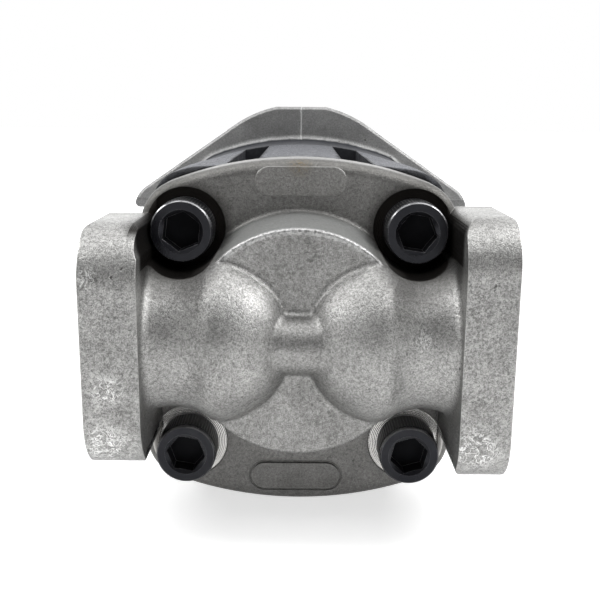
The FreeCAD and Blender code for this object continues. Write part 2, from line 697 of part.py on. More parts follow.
def gear_outline():
    # Involute flanks, relieved near the root along the path of the mating tooth's tip corner.
    # With an odd tooth count and a tooth at the top of both gears, the pair is in mesh.
    pitch_radius = MODULE * TOOTH_COUNT / 2.0
    base_radius = pitch_radius * math.cos(PRESSURE_ANGLE)
    root_radius = CENTRE_DISTANCE - TIP_RADIUS - ROOT_GAP
    working = math.acos(pitch_radius * 2.0 * math.cos(PRESSURE_ANGLE) / CENTRE_DISTANCE)
    reference = math.pi / (2.0 * TOOTH_COUNT) + involute(working)
    half_pitch = math.pi / TOOTH_COUNT

    def involute_half_angle(radius):
        return reference - involute(math.acos(base_radius / radius))

    tip_angle = involute_half_angle(TIP_RADIUS)
    path = []
    for step in range(-160, 161):
        roll = step * 0.005
        swing = math.pi + roll + tip_angle
        reach = TIP_RADIUS + FLANK_PLAY
        px = CENTRE_DISTANCE + reach * math.cos(swing)
        pz = reach * math.sin(swing)
        path.append((math.hypot(px, pz), abs(math.atan2(pz, px) + roll)))

    def relief_half_angle(radius):
        widest = 0.0
        for (r1, a1), (r2, a2) in zip(path, path[1:]):
            if min(r1, r2) <= radius <= max(r1, r2) and r1 != r2:
                widest = max(widest, a1 + (a2 - a1) * (radius - r1) / (r2 - r1))
        return half_pitch - widest

    lowest = CENTRE_DISTANCE - TIP_RADIUS
    flank = []
    for step in range(FLANK_STEPS + 1):
        radius = lowest + (TIP_RADIUS - lowest) * step / FLANK_STEPS
        angle = relief_half_angle(radius)
        if radius > base_radius:
            angle = min(angle, involute_half_angle(radius))
        flank.append((radius, angle - FLANK_PLAY / radius))

    def point(radius, angle):
        return at(radius * math.sin(angle), radius * math.cos(angle))

    edges = []
    foot = flank[0][1]
    for tooth in range(TOOTH_COUNT):
        centre = 2.0 * half_pitch * tooth
        left = [point(radius, centre - angle) for radius, angle in flank]
        right = [point(radius, centre + angle) for radius, angle in reversed(flank)]
        for points in (left, right):
            curve = Part.BSplineCurve()
            curve.interpolate(points)
            edges.append(curve.toShape())
        crest = point(TIP_RADIUS, centre)
        edges.append(Part.Arc(left[-1], crest, right[0]).toShape())
        next_centre = centre + 2.0 * half_pitch
        next_left = point(flank[0][0], next_centre - foot)
        valley = point(root_radius, centre + half_pitch)
        edges.append(Part.Arc(right[-1], valley, next_left).toShape())
    return Part.Wire(Part.__sortEdges__(edges))


def gear_with_journals(z, front_end):
    gear = prism(gear_outline(), GEAR_REAR_Y, GEAR_FRONT_Y)
    gear.translate(Vector(0, 0, z))
    rear_end = HOUSING_REAR_Y + JOURNAL_END_GAP
    core = rod(0, z, rear_end, front_end, JOURNAL_RADIUS)
    core = core.makeChamfer(JOURNAL_CHAMFER, rim_edges(core, rear_end))
    body = gear.fuse(core)
    for start in (GEAR_REAR_Y - RELIEF_WIDTH, GEAR_FRONT_Y):
        relief = tube(z, start, start + RELIEF_WIDTH, JOURNAL_RADIUS - RELIEF_DEPTH, JOURNAL_RADIUS + OVERCUT)
        body = body.cut(relief)
    return body


def key_box():
    half = KEY_SIZE / 2.0
    end = SHAFT_REACH - KEY_END_GAP
    low = SHAFT_RADIUS - KEY_SIZE / 2.0
    return block(-half, half, end - KEY_LENGTH, end, low, low + KEY_SIZE)


def make_drive_gear_shaft():
    body = gear_with_journals(0.0, SHAFT_STEP_Y)
    nose = rod(0, 0, SHAFT_STEP_Y, SHAFT_REACH, SHAFT_RADIUS)
    nose = nose.makeChamfer(SHAFT_CHAMFER, rim_edges(nose, SHAFT_REACH))
    drill = Part.makeCone(
        0, CENTRE_DRILL_RADIUS, CENTRE_DRILL_RADIUS * 1.5,
        Vector(0, SHAFT_REACH - CENTRE_DRILL_RADIUS * 1.5, 0), Vector(0, 1, 0),
    )
    return body.fuse(nose).cut([drill, key_box()]).removeSplitter()


def make_driven_gear():
    return gear_with_journals(-CENTRE_DISTANCE, HOUSING_FRONT_Y - JOURNAL_END_GAP).removeSplitter()


def balance_shape(inner, outer, y_from, y_to):
    # Half rings round both shaft axes on the outlet side, meeting at the waist like a figure 3
    rings = [rod(0, z, y_from, y_to, outer) for z in SHAFT_AXES]
    shape = rings[0].fuse(rings[1])
    shape = shape.cut([rod(0, z, y_from, y_to, inner) for z in SHAFT_AXES])
    limit = 2.0 * CENTRE_DISTANCE
    return shape.common(block(-limit, 0, y_from, y_to, -limit, limit)).removeSplitter()


def make_bearing_block(y_from, y_to, outer_face):
    body = rod(0, 0, y_from, y_to, TIP_RADIUS).fuse(rod(0, -CENTRE_DISTANCE, y_from, y_to, TIP_RADIUS))
    cuts = [rod(0, z, y_from, y_to, BUSH_RADIUS) for z in SHAFT_AXES]
    if outer_face < (y_from + y_to) / 2.0:
        cuts.append(balance_shape(BALANCE_INNER, BALANCE_OUTER, y_from, y_from + BALANCE_DEPTH))
    else:
        cuts.append(balance_shape(BALANCE_INNER, BALANCE_OUTER, y_to - BALANCE_DEPTH, y_to))
    return body.cut(cuts).removeSplitter()


def seal_case(front_y):
    rear_y = front_y - SEAL_WIDTH
    inner = SEAL_BORE_RADIUS - SEAL_CASE_WALL
    return ring([
        (SEAL_BORE_RADIUS, rear_y), (SEAL_BORE_RADIUS, front_y), (SEAL_CASE_HOLE, front_y),
        (SEAL_CASE_HOLE, front_y - SEAL_CASE_WALL), (inner, front_y - SEAL_CASE_WALL), (inner, rear_y),
    ])


def seal_spring(front_y):
    centre = Vector(0, front_y - SPRING_SETBACK, 0)
    return Part.makeTorus(SPRING_RADIUS, SPRING_WIRE, centre, Vector(0, 1, 0))


def seal_lip(front_y):
    # Rubber web inside the case, with a leg that ends in a sharp lip on the shaft under the spring
    wall = SEAL_BORE_RADIUS - SEAL_CASE_WALL
    shaft = JOURNAL_RADIUS
    web_y = front_y - SEAL_CASE_WALL
    lip = ring([
        (wall, web_y), (wall, web_y - LIP_WEB), (shaft + LIP_SHOULDER, web_y - LIP_WEB),
        (shaft + LIP_NECK, front_y - LIP_NECK_SETBACK), (shaft + LIP_HEEL, front_y - LIP_LENGTH),
        (shaft + LIP_HEEL_INNER, front_y - LIP_LENGTH), (shaft + TIP_GAP, front_y - SPRING_SETBACK),
        (shaft + LIP_BORE_GAP, front_y - LIP_BORE_LENGTH), (shaft + LIP_BORE_GAP, web_y),
    ])
    centre = Vector(0, front_y - SPRING_SETBACK, 0)
    bed = Part.makeTorus(SPRING_RADIUS, SPRING_WIRE + SPRING_BED_GAP, centre, Vector(0, 1, 0))
    return lip.cut(bed)


def make_retaining_ring():
    y_from = RING_GROOVE_Y + RING_END_PLAY
    y_to = y_from + RING_THICKNESS
    outer = RING_GROOVE_RADIUS - RING_SEAT_PLAY
    body = tube(0, y_from, y_to, outer - RING_RADIAL, outer)
    half_gap = math.radians(RING_GAP_ANGLE / 2.0)
    reach = outer * 1.4
    wedge = Part.makePolygon([
        at(0, 0), at(reach * math.sin(half_gap), -reach), at(-reach * math.sin(half_gap), -reach), at(0, 0)
    ])
    body = body.cut(prism(wedge, y_from, y_to))
    eye_reach = outer - RING_RADIAL + RING_EYE_INSET
    for side in (1, -1):
        angle = half_gap + math.radians(2.0)
        x = side * eye_reach * math.sin(angle)
        z = -eye_reach * math.cos(angle)
        body = body.fuse(rod(x, z, y_from, y_to, RING_LUG_RADIUS)).cut(rod(x, z, y_from, y_to, RING_EYE_RADIUS))
    return body.removeSplitter()


def make_dowels(joint_y):
    pins = []
    for x, z in dowel_places():
        pin = rod(x, z, joint_y - DOWEL_LENGTH / 2.0, joint_y + DOWEL_LENGTH / 2.0, DOWEL_RADIUS)
        ends = rim_edges(pin, joint_y - DOWEL_LENGTH / 2.0) + rim_edges(pin, joint_y + DOWEL_LENGTH / 2.0)
        pins.append(pin.makeChamfer(DOWEL_CHAMFER, ends))
    return Part.makeCompound(pins)


def write(name, shape):
    shape.exportStep("parts/" + name + ".step")


rear_block = (HOUSING_REAR_Y + END_GAP, GEAR_REAR_Y - END_GAP)
front_block = (GEAR_FRONT_Y + END_GAP, HOUSING_FRONT_Y - END_GAP)

write("rear_cover", make_rear_cover())
write("gear_housing", make_gear_housing())
write("front_cover", make_front_cover())
write("cover_bolts", make_cover_bolts())
write("drive_gear_shaft", make_drive_gear_shaft())
write("driven_gear", make_driven_gear())
write("rear_bearing_block", make_bearing_block(rear_block[0], rear_block[1], rear_block[0]))
write("front_bearing_block", make_bearing_block(front_block[0], front_block[1], front_block[1]))

for end, (low, high) in (("rear", rear_block), ("front", front_block)):
    for which, z in zip(("drive", "driven"), SHAFT_AXES):
        bush = tube(z, low + BUSH_INSET, high - BUSH_INSET, JOURNAL_RADIUS + RUNNING_GAP, BUSH_RADIUS)
        write(end + "_" + which + "_bush", bush)

low, high = rear_block[0], rear_block[0] + BALANCE_DEPTH
write("rear_balance_seal", balance_shape(BALANCE_INNER, BALANCE_SPLIT, low, high))
write("rear_balance_backup", balance_shape(BALANCE_SPLIT, BALANCE_OUTER, low, high))
low, high = front_block[1] - BALANCE_DEPTH, front_block[1]
write("front_balance_seal", balance_shape(BALANCE_INNER, BALANCE_SPLIT, low, high))
write("front_balance_backup", balance_shape(BALANCE_SPLIT, BALANCE_OUTER, low, high))

low, high = HOUSING_REAR_Y, HOUSING_REAR_Y + BODY_SEAL_HEIGHT
write("rear_body_seal", seal_loop(rear_seal_belt, BODY_SEAL_WIDTH, low, high))
low, high = HOUSING_FRONT_Y - BODY_SEAL_HEIGHT, HOUSING_FRONT_Y
write("front_body_seal", seal_loop(front_seal_belt, BODY_SEAL_WIDTH, low, high))

for place, front_y in (("outer", OUTER_SEAL_Y), ("inner", INNER_SEAL_Y)):
    write(place + "_seal_case", seal_case(front_y))
    write(place + "_seal_lip", seal_lip(front_y))
    write(place + "_seal_spring", seal_spring(front_y))

write("seal_retaining_ring", make_retaining_ring())
write("shaft_key", key_box())
write("rear_dowel_pins", make_dowels(HOUSING_REAR_Y))
write("front_dowel_pins", make_dowels(HOUSING_FRONT_Y))
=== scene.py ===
import json
import math

import bpy
from mathutils import Matrix, Vector


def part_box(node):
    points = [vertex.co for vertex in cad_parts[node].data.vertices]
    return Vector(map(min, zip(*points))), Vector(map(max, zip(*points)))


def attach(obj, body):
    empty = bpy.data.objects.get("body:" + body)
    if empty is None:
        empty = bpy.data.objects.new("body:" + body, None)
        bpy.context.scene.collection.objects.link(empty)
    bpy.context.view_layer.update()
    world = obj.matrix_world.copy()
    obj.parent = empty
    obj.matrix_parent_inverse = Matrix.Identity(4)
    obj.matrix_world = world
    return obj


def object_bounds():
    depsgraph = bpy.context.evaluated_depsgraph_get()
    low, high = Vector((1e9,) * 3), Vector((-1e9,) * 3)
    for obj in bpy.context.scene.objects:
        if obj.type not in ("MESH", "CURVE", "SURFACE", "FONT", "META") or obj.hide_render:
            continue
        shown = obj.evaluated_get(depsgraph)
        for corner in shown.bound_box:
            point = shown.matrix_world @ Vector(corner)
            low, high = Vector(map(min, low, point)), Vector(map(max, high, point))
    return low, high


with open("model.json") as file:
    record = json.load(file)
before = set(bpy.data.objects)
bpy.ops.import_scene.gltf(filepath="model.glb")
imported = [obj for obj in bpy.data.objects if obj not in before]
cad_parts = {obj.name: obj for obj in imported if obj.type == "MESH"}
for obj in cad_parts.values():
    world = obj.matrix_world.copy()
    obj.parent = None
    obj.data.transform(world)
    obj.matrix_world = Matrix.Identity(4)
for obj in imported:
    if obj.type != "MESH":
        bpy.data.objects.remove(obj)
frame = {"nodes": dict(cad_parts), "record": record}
cad_low, cad_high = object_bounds()
MM = 0.001

# Sizes of the pump, metres
BOLT_X = 46.3 * MM
HEAD_RADIUS = 12.2 * MM
HEAD_HEIGHT = 16.0 * MM
SOCKET_RADIUS = 8.7 * MM
POCKET_RADIUS = 16.0 * MM
PLATE_THICKNESS = 19.8 * MM
DISC_HEIGHT = 28.7 * MM
DISC_RISE = 5.0 * MM
DISC_FRONT_RADIUS = 44.9 * MM
DISC_BASE_RADIUS = 47.8 * MM
PAD_ROOT = 58.0 * MM
PAD_SKIN_DEPTH = 7.5 * MM
TOP_PAD_REACH = 20.0 * MM
TOP_PAD_FOOT_Z = 35.0 * MM
FLANGE_THICKNESS = 20.0 * MM
NOTCH_NEAR = 17.5 * MM
NOTCH_FAR = 31.0 * MM
BODY_HALF_HEIGHT = 74.0 * MM
LUG_RADIUS = 19.2 * MM
CROWN_RADIUS = 151.0 * MM

# Stations of the frame, and those worked out from them
screws_low, screws_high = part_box("cover_bolts")
cover_low, cover_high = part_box("rear_cover")
HEAD_FRONT_Y = screws_low.y
MID_Z = (screws_low.z + screws_high.z) / 2.0
BOLT_Z = (screws_high.z - screws_low.z) / 2.0 - HEAD_RADIUS
UPPER_BOLTS = [(side * BOLT_X, MID_Z + BOLT_Z) for side in (-1, 1)]
LOWER_BOLTS = [(side * BOLT_X, MID_Z - BOLT_Z) for side in (-1, 1)]
BOLTS = UPPER_BOLTS + LOWER_BOLTS
SHAFT_AXIS = [(0.0, 0.0)]
PAD_FACE = cover_high.x
PAD_BARE_Y = cover_low.y + PAD_SKIN_DEPTH
HOUSING_REAR_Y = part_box("gear_housing")[0].y
PLATE_FRONT_Y = HOUSING_REAR_Y - PLATE_THICKNESS
DISC_FRONT_Y = PLATE_FRONT_Y - DISC_HEIGHT
DISC_Z = MID_Z + DISC_RISE
CROWN_CENTRE_Z = MID_Z + BODY_HALF_HEIGHT - CROWN_RADIUS

# Rear cover: places of scuffs and dark specks, which are wear, and of painted shadow in the gaps beside
# the lower screws, each with its radius
SCUFFS = [
    ((-72.0 * MM, -270.0 * MM, -54.0 * MM), 15.0 * MM),
    ((-70.0 * MM, -271.0 * MM, -30.0 * MM), 8.0 * MM),
    ((-76.0 * MM, -271.0 * MM, 12.0 * MM), 6.0 * MM),
    ((66.0 * MM, -270.0 * MM, -52.0 * MM), 12.0 * MM),
    ((46.0 * MM, -262.0 * MM, -12.0 * MM), 7.0 * MM),
]
STAINS = [
    ((-76.0 * MM, -271.0 * MM, 8.0 * MM), 12.0 * MM),
    ((-66.0 * MM, -271.0 * MM, -45.0 * MM), 6.0 * MM),
    ((-52.0 * MM, -262.0 * MM, 2.0 * MM), 11.0 * MM),
    ((-33.0 * MM, -274.0 * MM, -22.0 * MM), 10.0 * MM),
    ((62.0 * MM, -271.0 * MM, 2.0 * MM), 10.0 * MM),
    ((0.0, -251.0 * MM, 14.0 * MM), 16.0 * MM),
    ((14.0 * MM, -251.0 * MM, -46.0 * MM), 14.0 * MM),
    ((48.0 * MM, -266.0 * MM, -44.0 * MM), 4.0 * MM),
]
LOWER_GAP_SHADOWS = [
    ((-58.0 * MM, -236.0 * MM, -66.0 * MM), 17.0 * MM),
    ((58.0 * MM, -236.0 * MM, -66.0 * MM), 17.0 * MM),
]
RUST_SPOT = (0.0, -222.0 * MM, 49.0 * MM)
RUST_RADIUS = 6.0 * MM

# Share of its radius within which a patch of wear is full
PATCH_CORE = 0.35

# Camera of the photograph: place in metres, angles in degrees, lens and sensor in millimetres
CAMERA_PLACE = (0.86 * MM, -570.5 * MM, 71.6 * MM)
CAMERA_PITCH = 12.604
CAMERA_YAW = -0.063
CAMERA_ROLL = 0.484
CAMERA_LENS = 51.6
SENSOR_WIDTH = 36.0
CLIP_START = 0.01
CLIP_END = 50.0

# Sockets of the Mix node for colours
MIX_FIRST = 6
MIX_SECOND = 7
MIX_RESULT = 2

# Agreement of a softened normal with the true one where an edge starts and where it is full
EDGE_AGREEMENT = (0.985, 0.86)
BEVEL_SAMPLES = 6

# Middle of a noise texture's levels, and the span that most of its levels lie in
MIDDLE_LEVEL = 0.5
GRAIN_SPAN = (0.3, 0.7)

NEUTRAL = (1.0, 1.0, 1.0)
WHITE = (*NEUTRAL, 1.0)


# Node helpers

def new_material(name):
    material = bpy.data.materials.new(name)
    material.use_nodes = True
    tree = material.node_tree
    return material, tree, tree.nodes["Principled BSDF"]


def add(tree, kind, **inputs):
    node = tree.nodes.new(kind)
    for key, value in inputs.items():
        node.inputs[key.replace("_", " ")].default_value = value
    return node


def set_input(tree, socket, value):
    # The value is a number, a colour or another node's output
    if isinstance(value, bpy.types.NodeSocket):
        tree.links.new(value, socket)
    elif isinstance(value, tuple):
        socket.default_value = (*value, 1.0)
    else:
        socket.default_value = value


def set_shader(tree, shader, base, metallic, roughness, normal, tint=NEUTRAL):
    # The tint dims the sheen that every surface takes on when seen at a low angle
    set_input(tree, shader.inputs["Base Color"], base)
    set_input(tree, shader.inputs["Metallic"], metallic)
    set_input(tree, shader.inputs["Roughness"], roughness)
    set_input(tree, shader.inputs["Normal"], normal)
    set_input(tree, shader.inputs["Specular Tint"], tint)


def math_node(tree, operation, first, second=None):
    node = tree.nodes.new("ShaderNodeMath")
    node.operation = operation
    set_input(tree, node.inputs[0], first)
    if second is not None:
        set_input(tree, node.inputs[1], second)
    return node.outputs[0]


def plus(tree, first, second):
    return math_node(tree, "ADD", first, second)


def minus(tree, first, second):
    return math_node(tree, "SUBTRACT", first, second)


def larger(tree, first, second):
    return math_node(tree, "MAXIMUM", first, second)


def absolute(tree, value):
    return math_node(tree, "ABSOLUTE", value)


def times(tree, *factors):
    product = factors[0]
    for factor in factors[1:]:
        product = math_node(tree, "MULTIPLY", product, factor)
    return product


def place(tree):
    return tree.nodes.new("ShaderNodeTexCoord").outputs["Object"]


def position_axes(tree):
    split = tree.nodes.new("ShaderNodeSeparateXYZ")
    tree.links.new(place(tree), split.inputs[0])
    return split.outputs


def noise(tree, scale, detail, roughness, stretch=None):
    # Scale is in features per metre
    source = place(tree)
    if stretch:
        mapping = tree.nodes.new("ShaderNodeMapping")
        mapping.inputs["Scale"].default_value = stretch
        tree.links.new(source, mapping.inputs["Vector"])
        source = mapping.outputs[0]
    node = add(tree, "ShaderNodeTexNoise", Scale=scale, Detail=detail, Roughness=roughness)
    tree.links.new(source, node.inputs["Vector"])
    return node.outputs["Fac"]


def ramp(tree, value, start, full, at_start=0.0, at_full=1.0):
    node = tree.nodes.new("ShaderNodeMapRange")
    node.inputs["From Min"].default_value = start
    node.inputs["From Max"].default_value = full
    set_input(tree, node.inputs["To Min"], at_start)
    set_input(tree, node.inputs["To Max"], at_full)
    tree.links.new(value, node.inputs["Value"])
    return node.outputs[0]


def fade(tree, mask, off, on):
    # A value that is off where the mask is 0 and on where the mask is 1
    return ramp(tree, mask, 0.0, 1.0, off, on)


def where(tree, *bounds):
    # Mask from several ramps, each given as a value and the pair of places where it starts and is full
    return times(tree, *(ramp(tree, value, *limits) for value, limits in bounds))


def mix_colour(tree, factor, first, second, blend="MIX"):
    node = tree.nodes.new("ShaderNodeMix")
    node.data_type = "RGBA"
    node.blend_type = blend
    set_input(tree, node.inputs["Factor"], factor)
    set_input(tree, node.inputs[MIX_FIRST], first)
    set_input(tree, node.inputs[MIX_SECOND], second)
    return node.outputs[MIX_RESULT]


def tone(tree, base, mask, shade):
    # A shade is a colour and the share of it that is mixed in where the mask is 1
    colour, share = shade
    return mix_colour(tree, times(tree, mask, share), base, colour)


def bevel_normal(tree, radius):
    bevel = tree.nodes.new("ShaderNodeBevel")
    bevel.samples = BEVEL_SAMPLES
    bevel.inputs["Radius"].default_value = radius
    return bevel.outputs[0]


def bump_over(tree, height, distance, strength, normal=None):
    # Distance is the height of the relief in metres
    node = add(tree, "ShaderNodeBump", Distance=distance)
    set_input(tree, node.inputs["Strength"], strength)
    tree.links.new(height, node.inputs["Height"])
    if normal:
        tree.links.new(normal, node.inputs["Normal"])
    return node.outputs[0]


def bump(tree, layers, soft_edge=0.0):
    # Layers are (height, distance in metres, strength); soft_edge rounds sharp edges by that radius
    normal = bevel_normal(tree, soft_edge) if soft_edge else None
    for height, distance, strength in layers:
        normal = bump_over(tree, height, distance, strength, normal)
    return normal


def edge_mask(tree, radius):
    # 1 along edges and creases, found where a softened normal leaves the true one
    agree = tree.nodes.new("ShaderNodeVectorMath")
    agree.operation = "DOT_PRODUCT"
    tree.links.new(bevel_normal(tree, radius), agree.inputs[0])
    tree.links.new(tree.nodes.new("ShaderNodeNewGeometry").outputs["Normal"], agree.inputs[1])
    return ramp(tree, agree.outputs["Value"], *EDGE_AGREEMENT)


def ring_distance(tree, centres):
    # Distance in the XZ plane to the nearest of the given axes
    axes = position_axes(tree)
    nearest = None
    for x, z in centres:
        dx = minus(tree, axes["X"], x)
        dz = minus(tree, axes["Z"], z)
        squares = plus(tree, times(tree, dx, dx), times(tree, dz, dz))
        distance = math_node(tree, "SQRT", squares)
        nearest = distance if nearest is None else math_node(tree, "MINIMUM", nearest, distance)
    return nearest


def near_point(tree, centre, radius):
    # 1 around the point, falling to 0 at the radius
    away = tree.nodes.new("ShaderNodeVectorMath")
    away.operation = "DISTANCE"
    tree.links.new(place(tree), away.inputs[0])
    away.inputs[1].default_value = centre
    return ramp(tree, away.outputs["Value"], radius, radius * PATCH_CORE)


def near_any(tree, patches):
    covered = 0.0
    for centre, radius in patches:
        covered = larger(tree, covered, near_point(tree, centre, radius))
    return covered


# Cast iron skin: textures as features per metre, detail and roughness, and the levels used of each

MOTTLE = (75.0, 7.0, 0.75)
MOTTLE_LEVELS = (0.36, 0.64)
COARSE_GRAIN = (900.0, 4.0, 0.70)
FINE_GRAIN = (2300.0, 2.0, 0.60)
GRAIN_SUM_LEVELS = (0.78, 1.22)
GRAIN_SWING = 0.48
PITS = (260.0, 2.0, 0.5)
PIT_LEVELS = (0.27, 0.22)
PIT_SHADE = ((0.03, 0.028, 0.026), 0.75)

# Relief of the skin: height in metres and strength
COARSE_RELIEF = (0.5 * MM, 0.40)
FINE_RELIEF = (0.3 * MM, 0.45)
PIT_RELIEF = (-0.4 * MM, 0.5)

# Rounding of cast edges and height of tool marks, metres
CAST_EDGE = 0.7 * MM
TOOL_MARK_HEIGHT = 0.08 * MM


def cast_skin(tree, dark, light, contrast):
    # Shot-blasted casting: soft mottle under light and dark grains of two sizes, and sparse pits
    coarse = noise(tree, *COARSE_GRAIN)
    fine = noise(tree, *FINE_GRAIN)
    pit_mask = ramp(tree, noise(tree, *PITS), *PIT_LEVELS)
    base = mix_colour(tree, ramp(tree, noise(tree, *MOTTLE), *MOTTLE_LEVELS), dark, light)
    swing = GRAIN_SWING * contrast
    grain = ramp(tree, plus(tree, coarse, fine), *GRAIN_SUM_LEVELS, 1.0 - swing, 1.0 + swing)
    base = mix_colour(tree, 1.0, base, grain, "MULTIPLY")
    return tone(tree, base, pit_mask, PIT_SHADE), coarse, fine, pit_mask


def cast_bump(tree, coarse, fine, pit_mask, strength):
    reliefs = ((coarse, COARSE_RELIEF), (fine, FINE_RELIEF), (pit_mask, PIT_RELIEF))
    layers = []
    for height, (distance, share) in reliefs:
        layers.append((height, distance, times(tree, strength, share)))
    return bump(tree, layers, CAST_EDGE)


def tool_marks(tree, distance, pitch, strength, normal):
    # Fine parallel marks left by a cutter, one for each pitch of the distance
    wave = math_node(tree, "SINE", times(tree, distance, math.tau / pitch))
    return bump_over(tree, wave, TOOL_MARK_HEIGHT, strength, normal)


def turned_rings(tree, radius):
    # Uneven brightness from ring to ring of a turned face
    rings = add(tree, "ShaderNodeTexNoise", Scale=900.0, Detail=3.0, Roughness=0.7)
    rings.noise_dimensions = "1D"
    tree.links.new(radius, rings.inputs["W"])
    return rings.outputs[0]


# Wear and painted shadow: textures, the levels used of each, and shades

SCRATCH_WIDTH = (0.040, 0.012)
SPECK_CLUSTERS = (110.0, 3.0, 0.6)
CLUSTER_LEVELS = (0.44, 0.56)
SPECK_GRAIN = (620.0, 4.0, 0.75)
SPECK_LEVELS = (0.50, 0.60)
RUST_LEVELS = (0.4, 0.6)
# Painted shadow in the gaps beside the lower screws
LOWER_GAP_PAINTED_SHADOW = ((0.022, 0.021, 0.020), 0.85)
SPECK_SHADE = ((0.07, 0.068, 0.065), 0.6)
SCUFF_SHADE = ((0.90, 0.90, 0.89), 0.9)
RUST_SHADE = ((0.12, 0.08, 0.025), 0.55)


def scratches(tree):
    # Thin curled marks
    texture = add(tree, "ShaderNodeTexNoise", Scale=260.0, Detail=3.0, Roughness=0.6, Distortion=1.6)
    tree.links.new(place(tree), texture.inputs["Vector"])
    offset = absolute(tree, minus(tree, texture.outputs["Fac"], MIDDLE_LEVEL))
    return ramp(tree, offset, *SCRATCH_WIDTH)


def specks(tree):
    # Small marks in loose clusters
    clusters = ramp(tree, noise(tree, *SPECK_CLUSTERS), *CLUSTER_LEVELS)
    return times(tree, ramp(tree, noise(tree, *SPECK_GRAIN), *SPECK_LEVELS), clusters)


def wear_and_gap_shadow(tree, base, coarse):
    # Painted shadow in the gaps beside the lower screws, dark specks, bright scuffs and one rust spot
    base = tone(tree, base, near_any(tree, LOWER_GAP_SHADOWS), LOWER_GAP_PAINTED_SHADOW)
    base = tone(tree, base, times(tree, specks(tree), near_any(tree, STAINS)), SPECK_SHADE)
    base = tone(tree, base, times(tree, scratches(tree), near_any(tree, SCUFFS)), SCUFF_SHADE)
    rust = times(tree, near_point(tree, RUST_SPOT, RUST_RADIUS), ramp(tree, coarse, *RUST_LEVELS))
    return tone(tree, base, rust, RUST_SHADE)


# Rear cover: lengths in metres. A pair is where a mask starts and where it is full.

BETWEEN_PADS = (PAD_ROOT, PAD_ROOT - 1.0 * MM)
RECESS_DEPTH = (PLATE_FRONT_Y - 5.0 * MM, PLATE_FRONT_Y - 1.0 * MM)
ROLLED_EDGE_FRONT = (PLATE_FRONT_Y + 0.2 * MM, PLATE_FRONT_Y + 0.8 * MM)
ROLLED_EDGE_BACK = (PLATE_FRONT_Y + 8.0 * MM, PLATE_FRONT_Y + 4.0 * MM)
RIB_ACROSS = (13.0 * MM, 9.0 * MM)
RIB_DEPTH = (DISC_FRONT_Y, DISC_FRONT_Y - 2.0 * MM)
DISC_DEPTH = (DISC_FRONT_Y - 1.2 * MM, DISC_FRONT_Y - 0.2 * MM)
TOP_PAD_ACROSS = (TOP_PAD_REACH + 1.5 * MM, TOP_PAD_REACH)
TOP_PAD_HEIGHT = (TOP_PAD_FOOT_Z - 1.0 * MM, TOP_PAD_FOOT_Z)
TOP_PAD_DEPTH = (PLATE_FRONT_Y - 0.1 * MM, PLATE_FRONT_Y - 0.3 * MM)
TOP_PAD_RIM_DEPTH = (PLATE_FRONT_Y - 1.5 * MM, PLATE_FRONT_Y - 1.3 * MM)
CLEAR_OF_DOMES = (24.0 * MM, 31.0 * MM)
FLANK_INNER = (DISC_FRONT_RADIUS - 1.3 * MM, DISC_FRONT_RADIUS - 0.3 * MM)
FLANK_OUTER = (DISC_BASE_RADIUS + 1.6 * MM, DISC_BASE_RADIUS + 0.6 * MM)
FLANK_FRONT = (DISC_FRONT_Y + 0.4 * MM, DISC_FRONT_Y + 1.4 * MM)
FLANK_BACK = (PLATE_FRONT_Y - 0.4 * MM, PLATE_FRONT_Y - 2.4 * MM)
RIM_INNER = (DISC_FRONT_RADIUS - 2.6 * MM, DISC_FRONT_RADIUS - 1.4 * MM)
RIM_OUTER = (DISC_BASE_RADIUS, DISC_FRONT_RADIUS + 0.5 * MM)
RIM_DEPTH = (DISC_FRONT_Y + 2.4 * MM, DISC_FRONT_Y + 1.0 * MM)
RIM_HEIGHT = (DISC_Z, DISC_Z + 10.0 * MM)
POCKET_WALL = (POCKET_RADIUS + 0.35 * MM, POCKET_RADIUS + 0.1 * MM)
POCKET_SHADE_REACH = (POCKET_RADIUS + 6.5 * MM, POCKET_RADIUS - 0.5 * MM)
SHADOW_BELOW_REACH = (20.0 * MM, 15.0 * MM)
SHADOW_BELOW_DROP = 5.5 * MM
UPPER_POCKETS = (-30.0 * MM, -15.0 * MM)
POCKETS_BEHIND = (PAD_BARE_Y, PAD_BARE_Y + 5.0 * MM)
SEAT_DEPTH = (PLATE_FRONT_Y, PLATE_FRONT_Y + 0.5 * MM)
FACED_ACROSS = (PAD_FACE - 0.5 * MM, PAD_FACE - 0.2 * MM)
POCKET_MARK_PITCH = 0.7 * MM
FACE_MARK_PITCH = 1.1 * MM

# Rear cover: colours and shades
BARE_IRON = ((0.270, 0.269, 0.262), (0.370, 0.368, 0.360))
BARE_CONTRAST = 1.0
CUT_IRON = (0.40, 0.398, 0.39)
# Painted shade for the recessed plate and its rolled edge
PLATE_PAINTED_SHADE = ((0.080, 0.077, 0.070), 0.49)
ROLLED_EDGE_PAINTED_SHADE = ((0.075, 0.072, 0.066), 0.42)
RIB_SHADE = ((0.10, 0.098, 0.095), 0.25)
DISC_SHADE = ((0.11, 0.108, 0.104), 0.22)
TOP_PAD_SHADE = ((0.50, 0.49, 0.47), 0.06)
# Painted highlight on the top pad's rim
TOP_PAD_RIM_HIGHLIGHT = ((0.60, 0.59, 0.57), 0.50)
FLANK_SHADE = ((0.21, 0.215, 0.21), 0.75)
# Lightened edges and creases: partly wear, partly painted highlight
CAST_EDGE_WEAR_AND_HIGHLIGHT = ((0.60, 0.60, 0.585), 0.35)
# Painted highlight on the disc's upper rim
RIM_LEVELS = (0.35, 0.6)
RIM_PAINTED_HIGHLIGHT = ((0.70, 0.70, 0.70), 0.7)
# Painted shade round the pockets and painted shadow below the upper two
UPPER_SURROUND_PAINTED_SHADE = ((0.030, 0.028, 0.025), 0.80)
LOWER_SURROUND_PAINTED_SHADE = ((0.05, 0.047, 0.043), 0.25)
PAINTED_SHADOW_BELOW = ((0.075, 0.073, 0.070), 0.60)
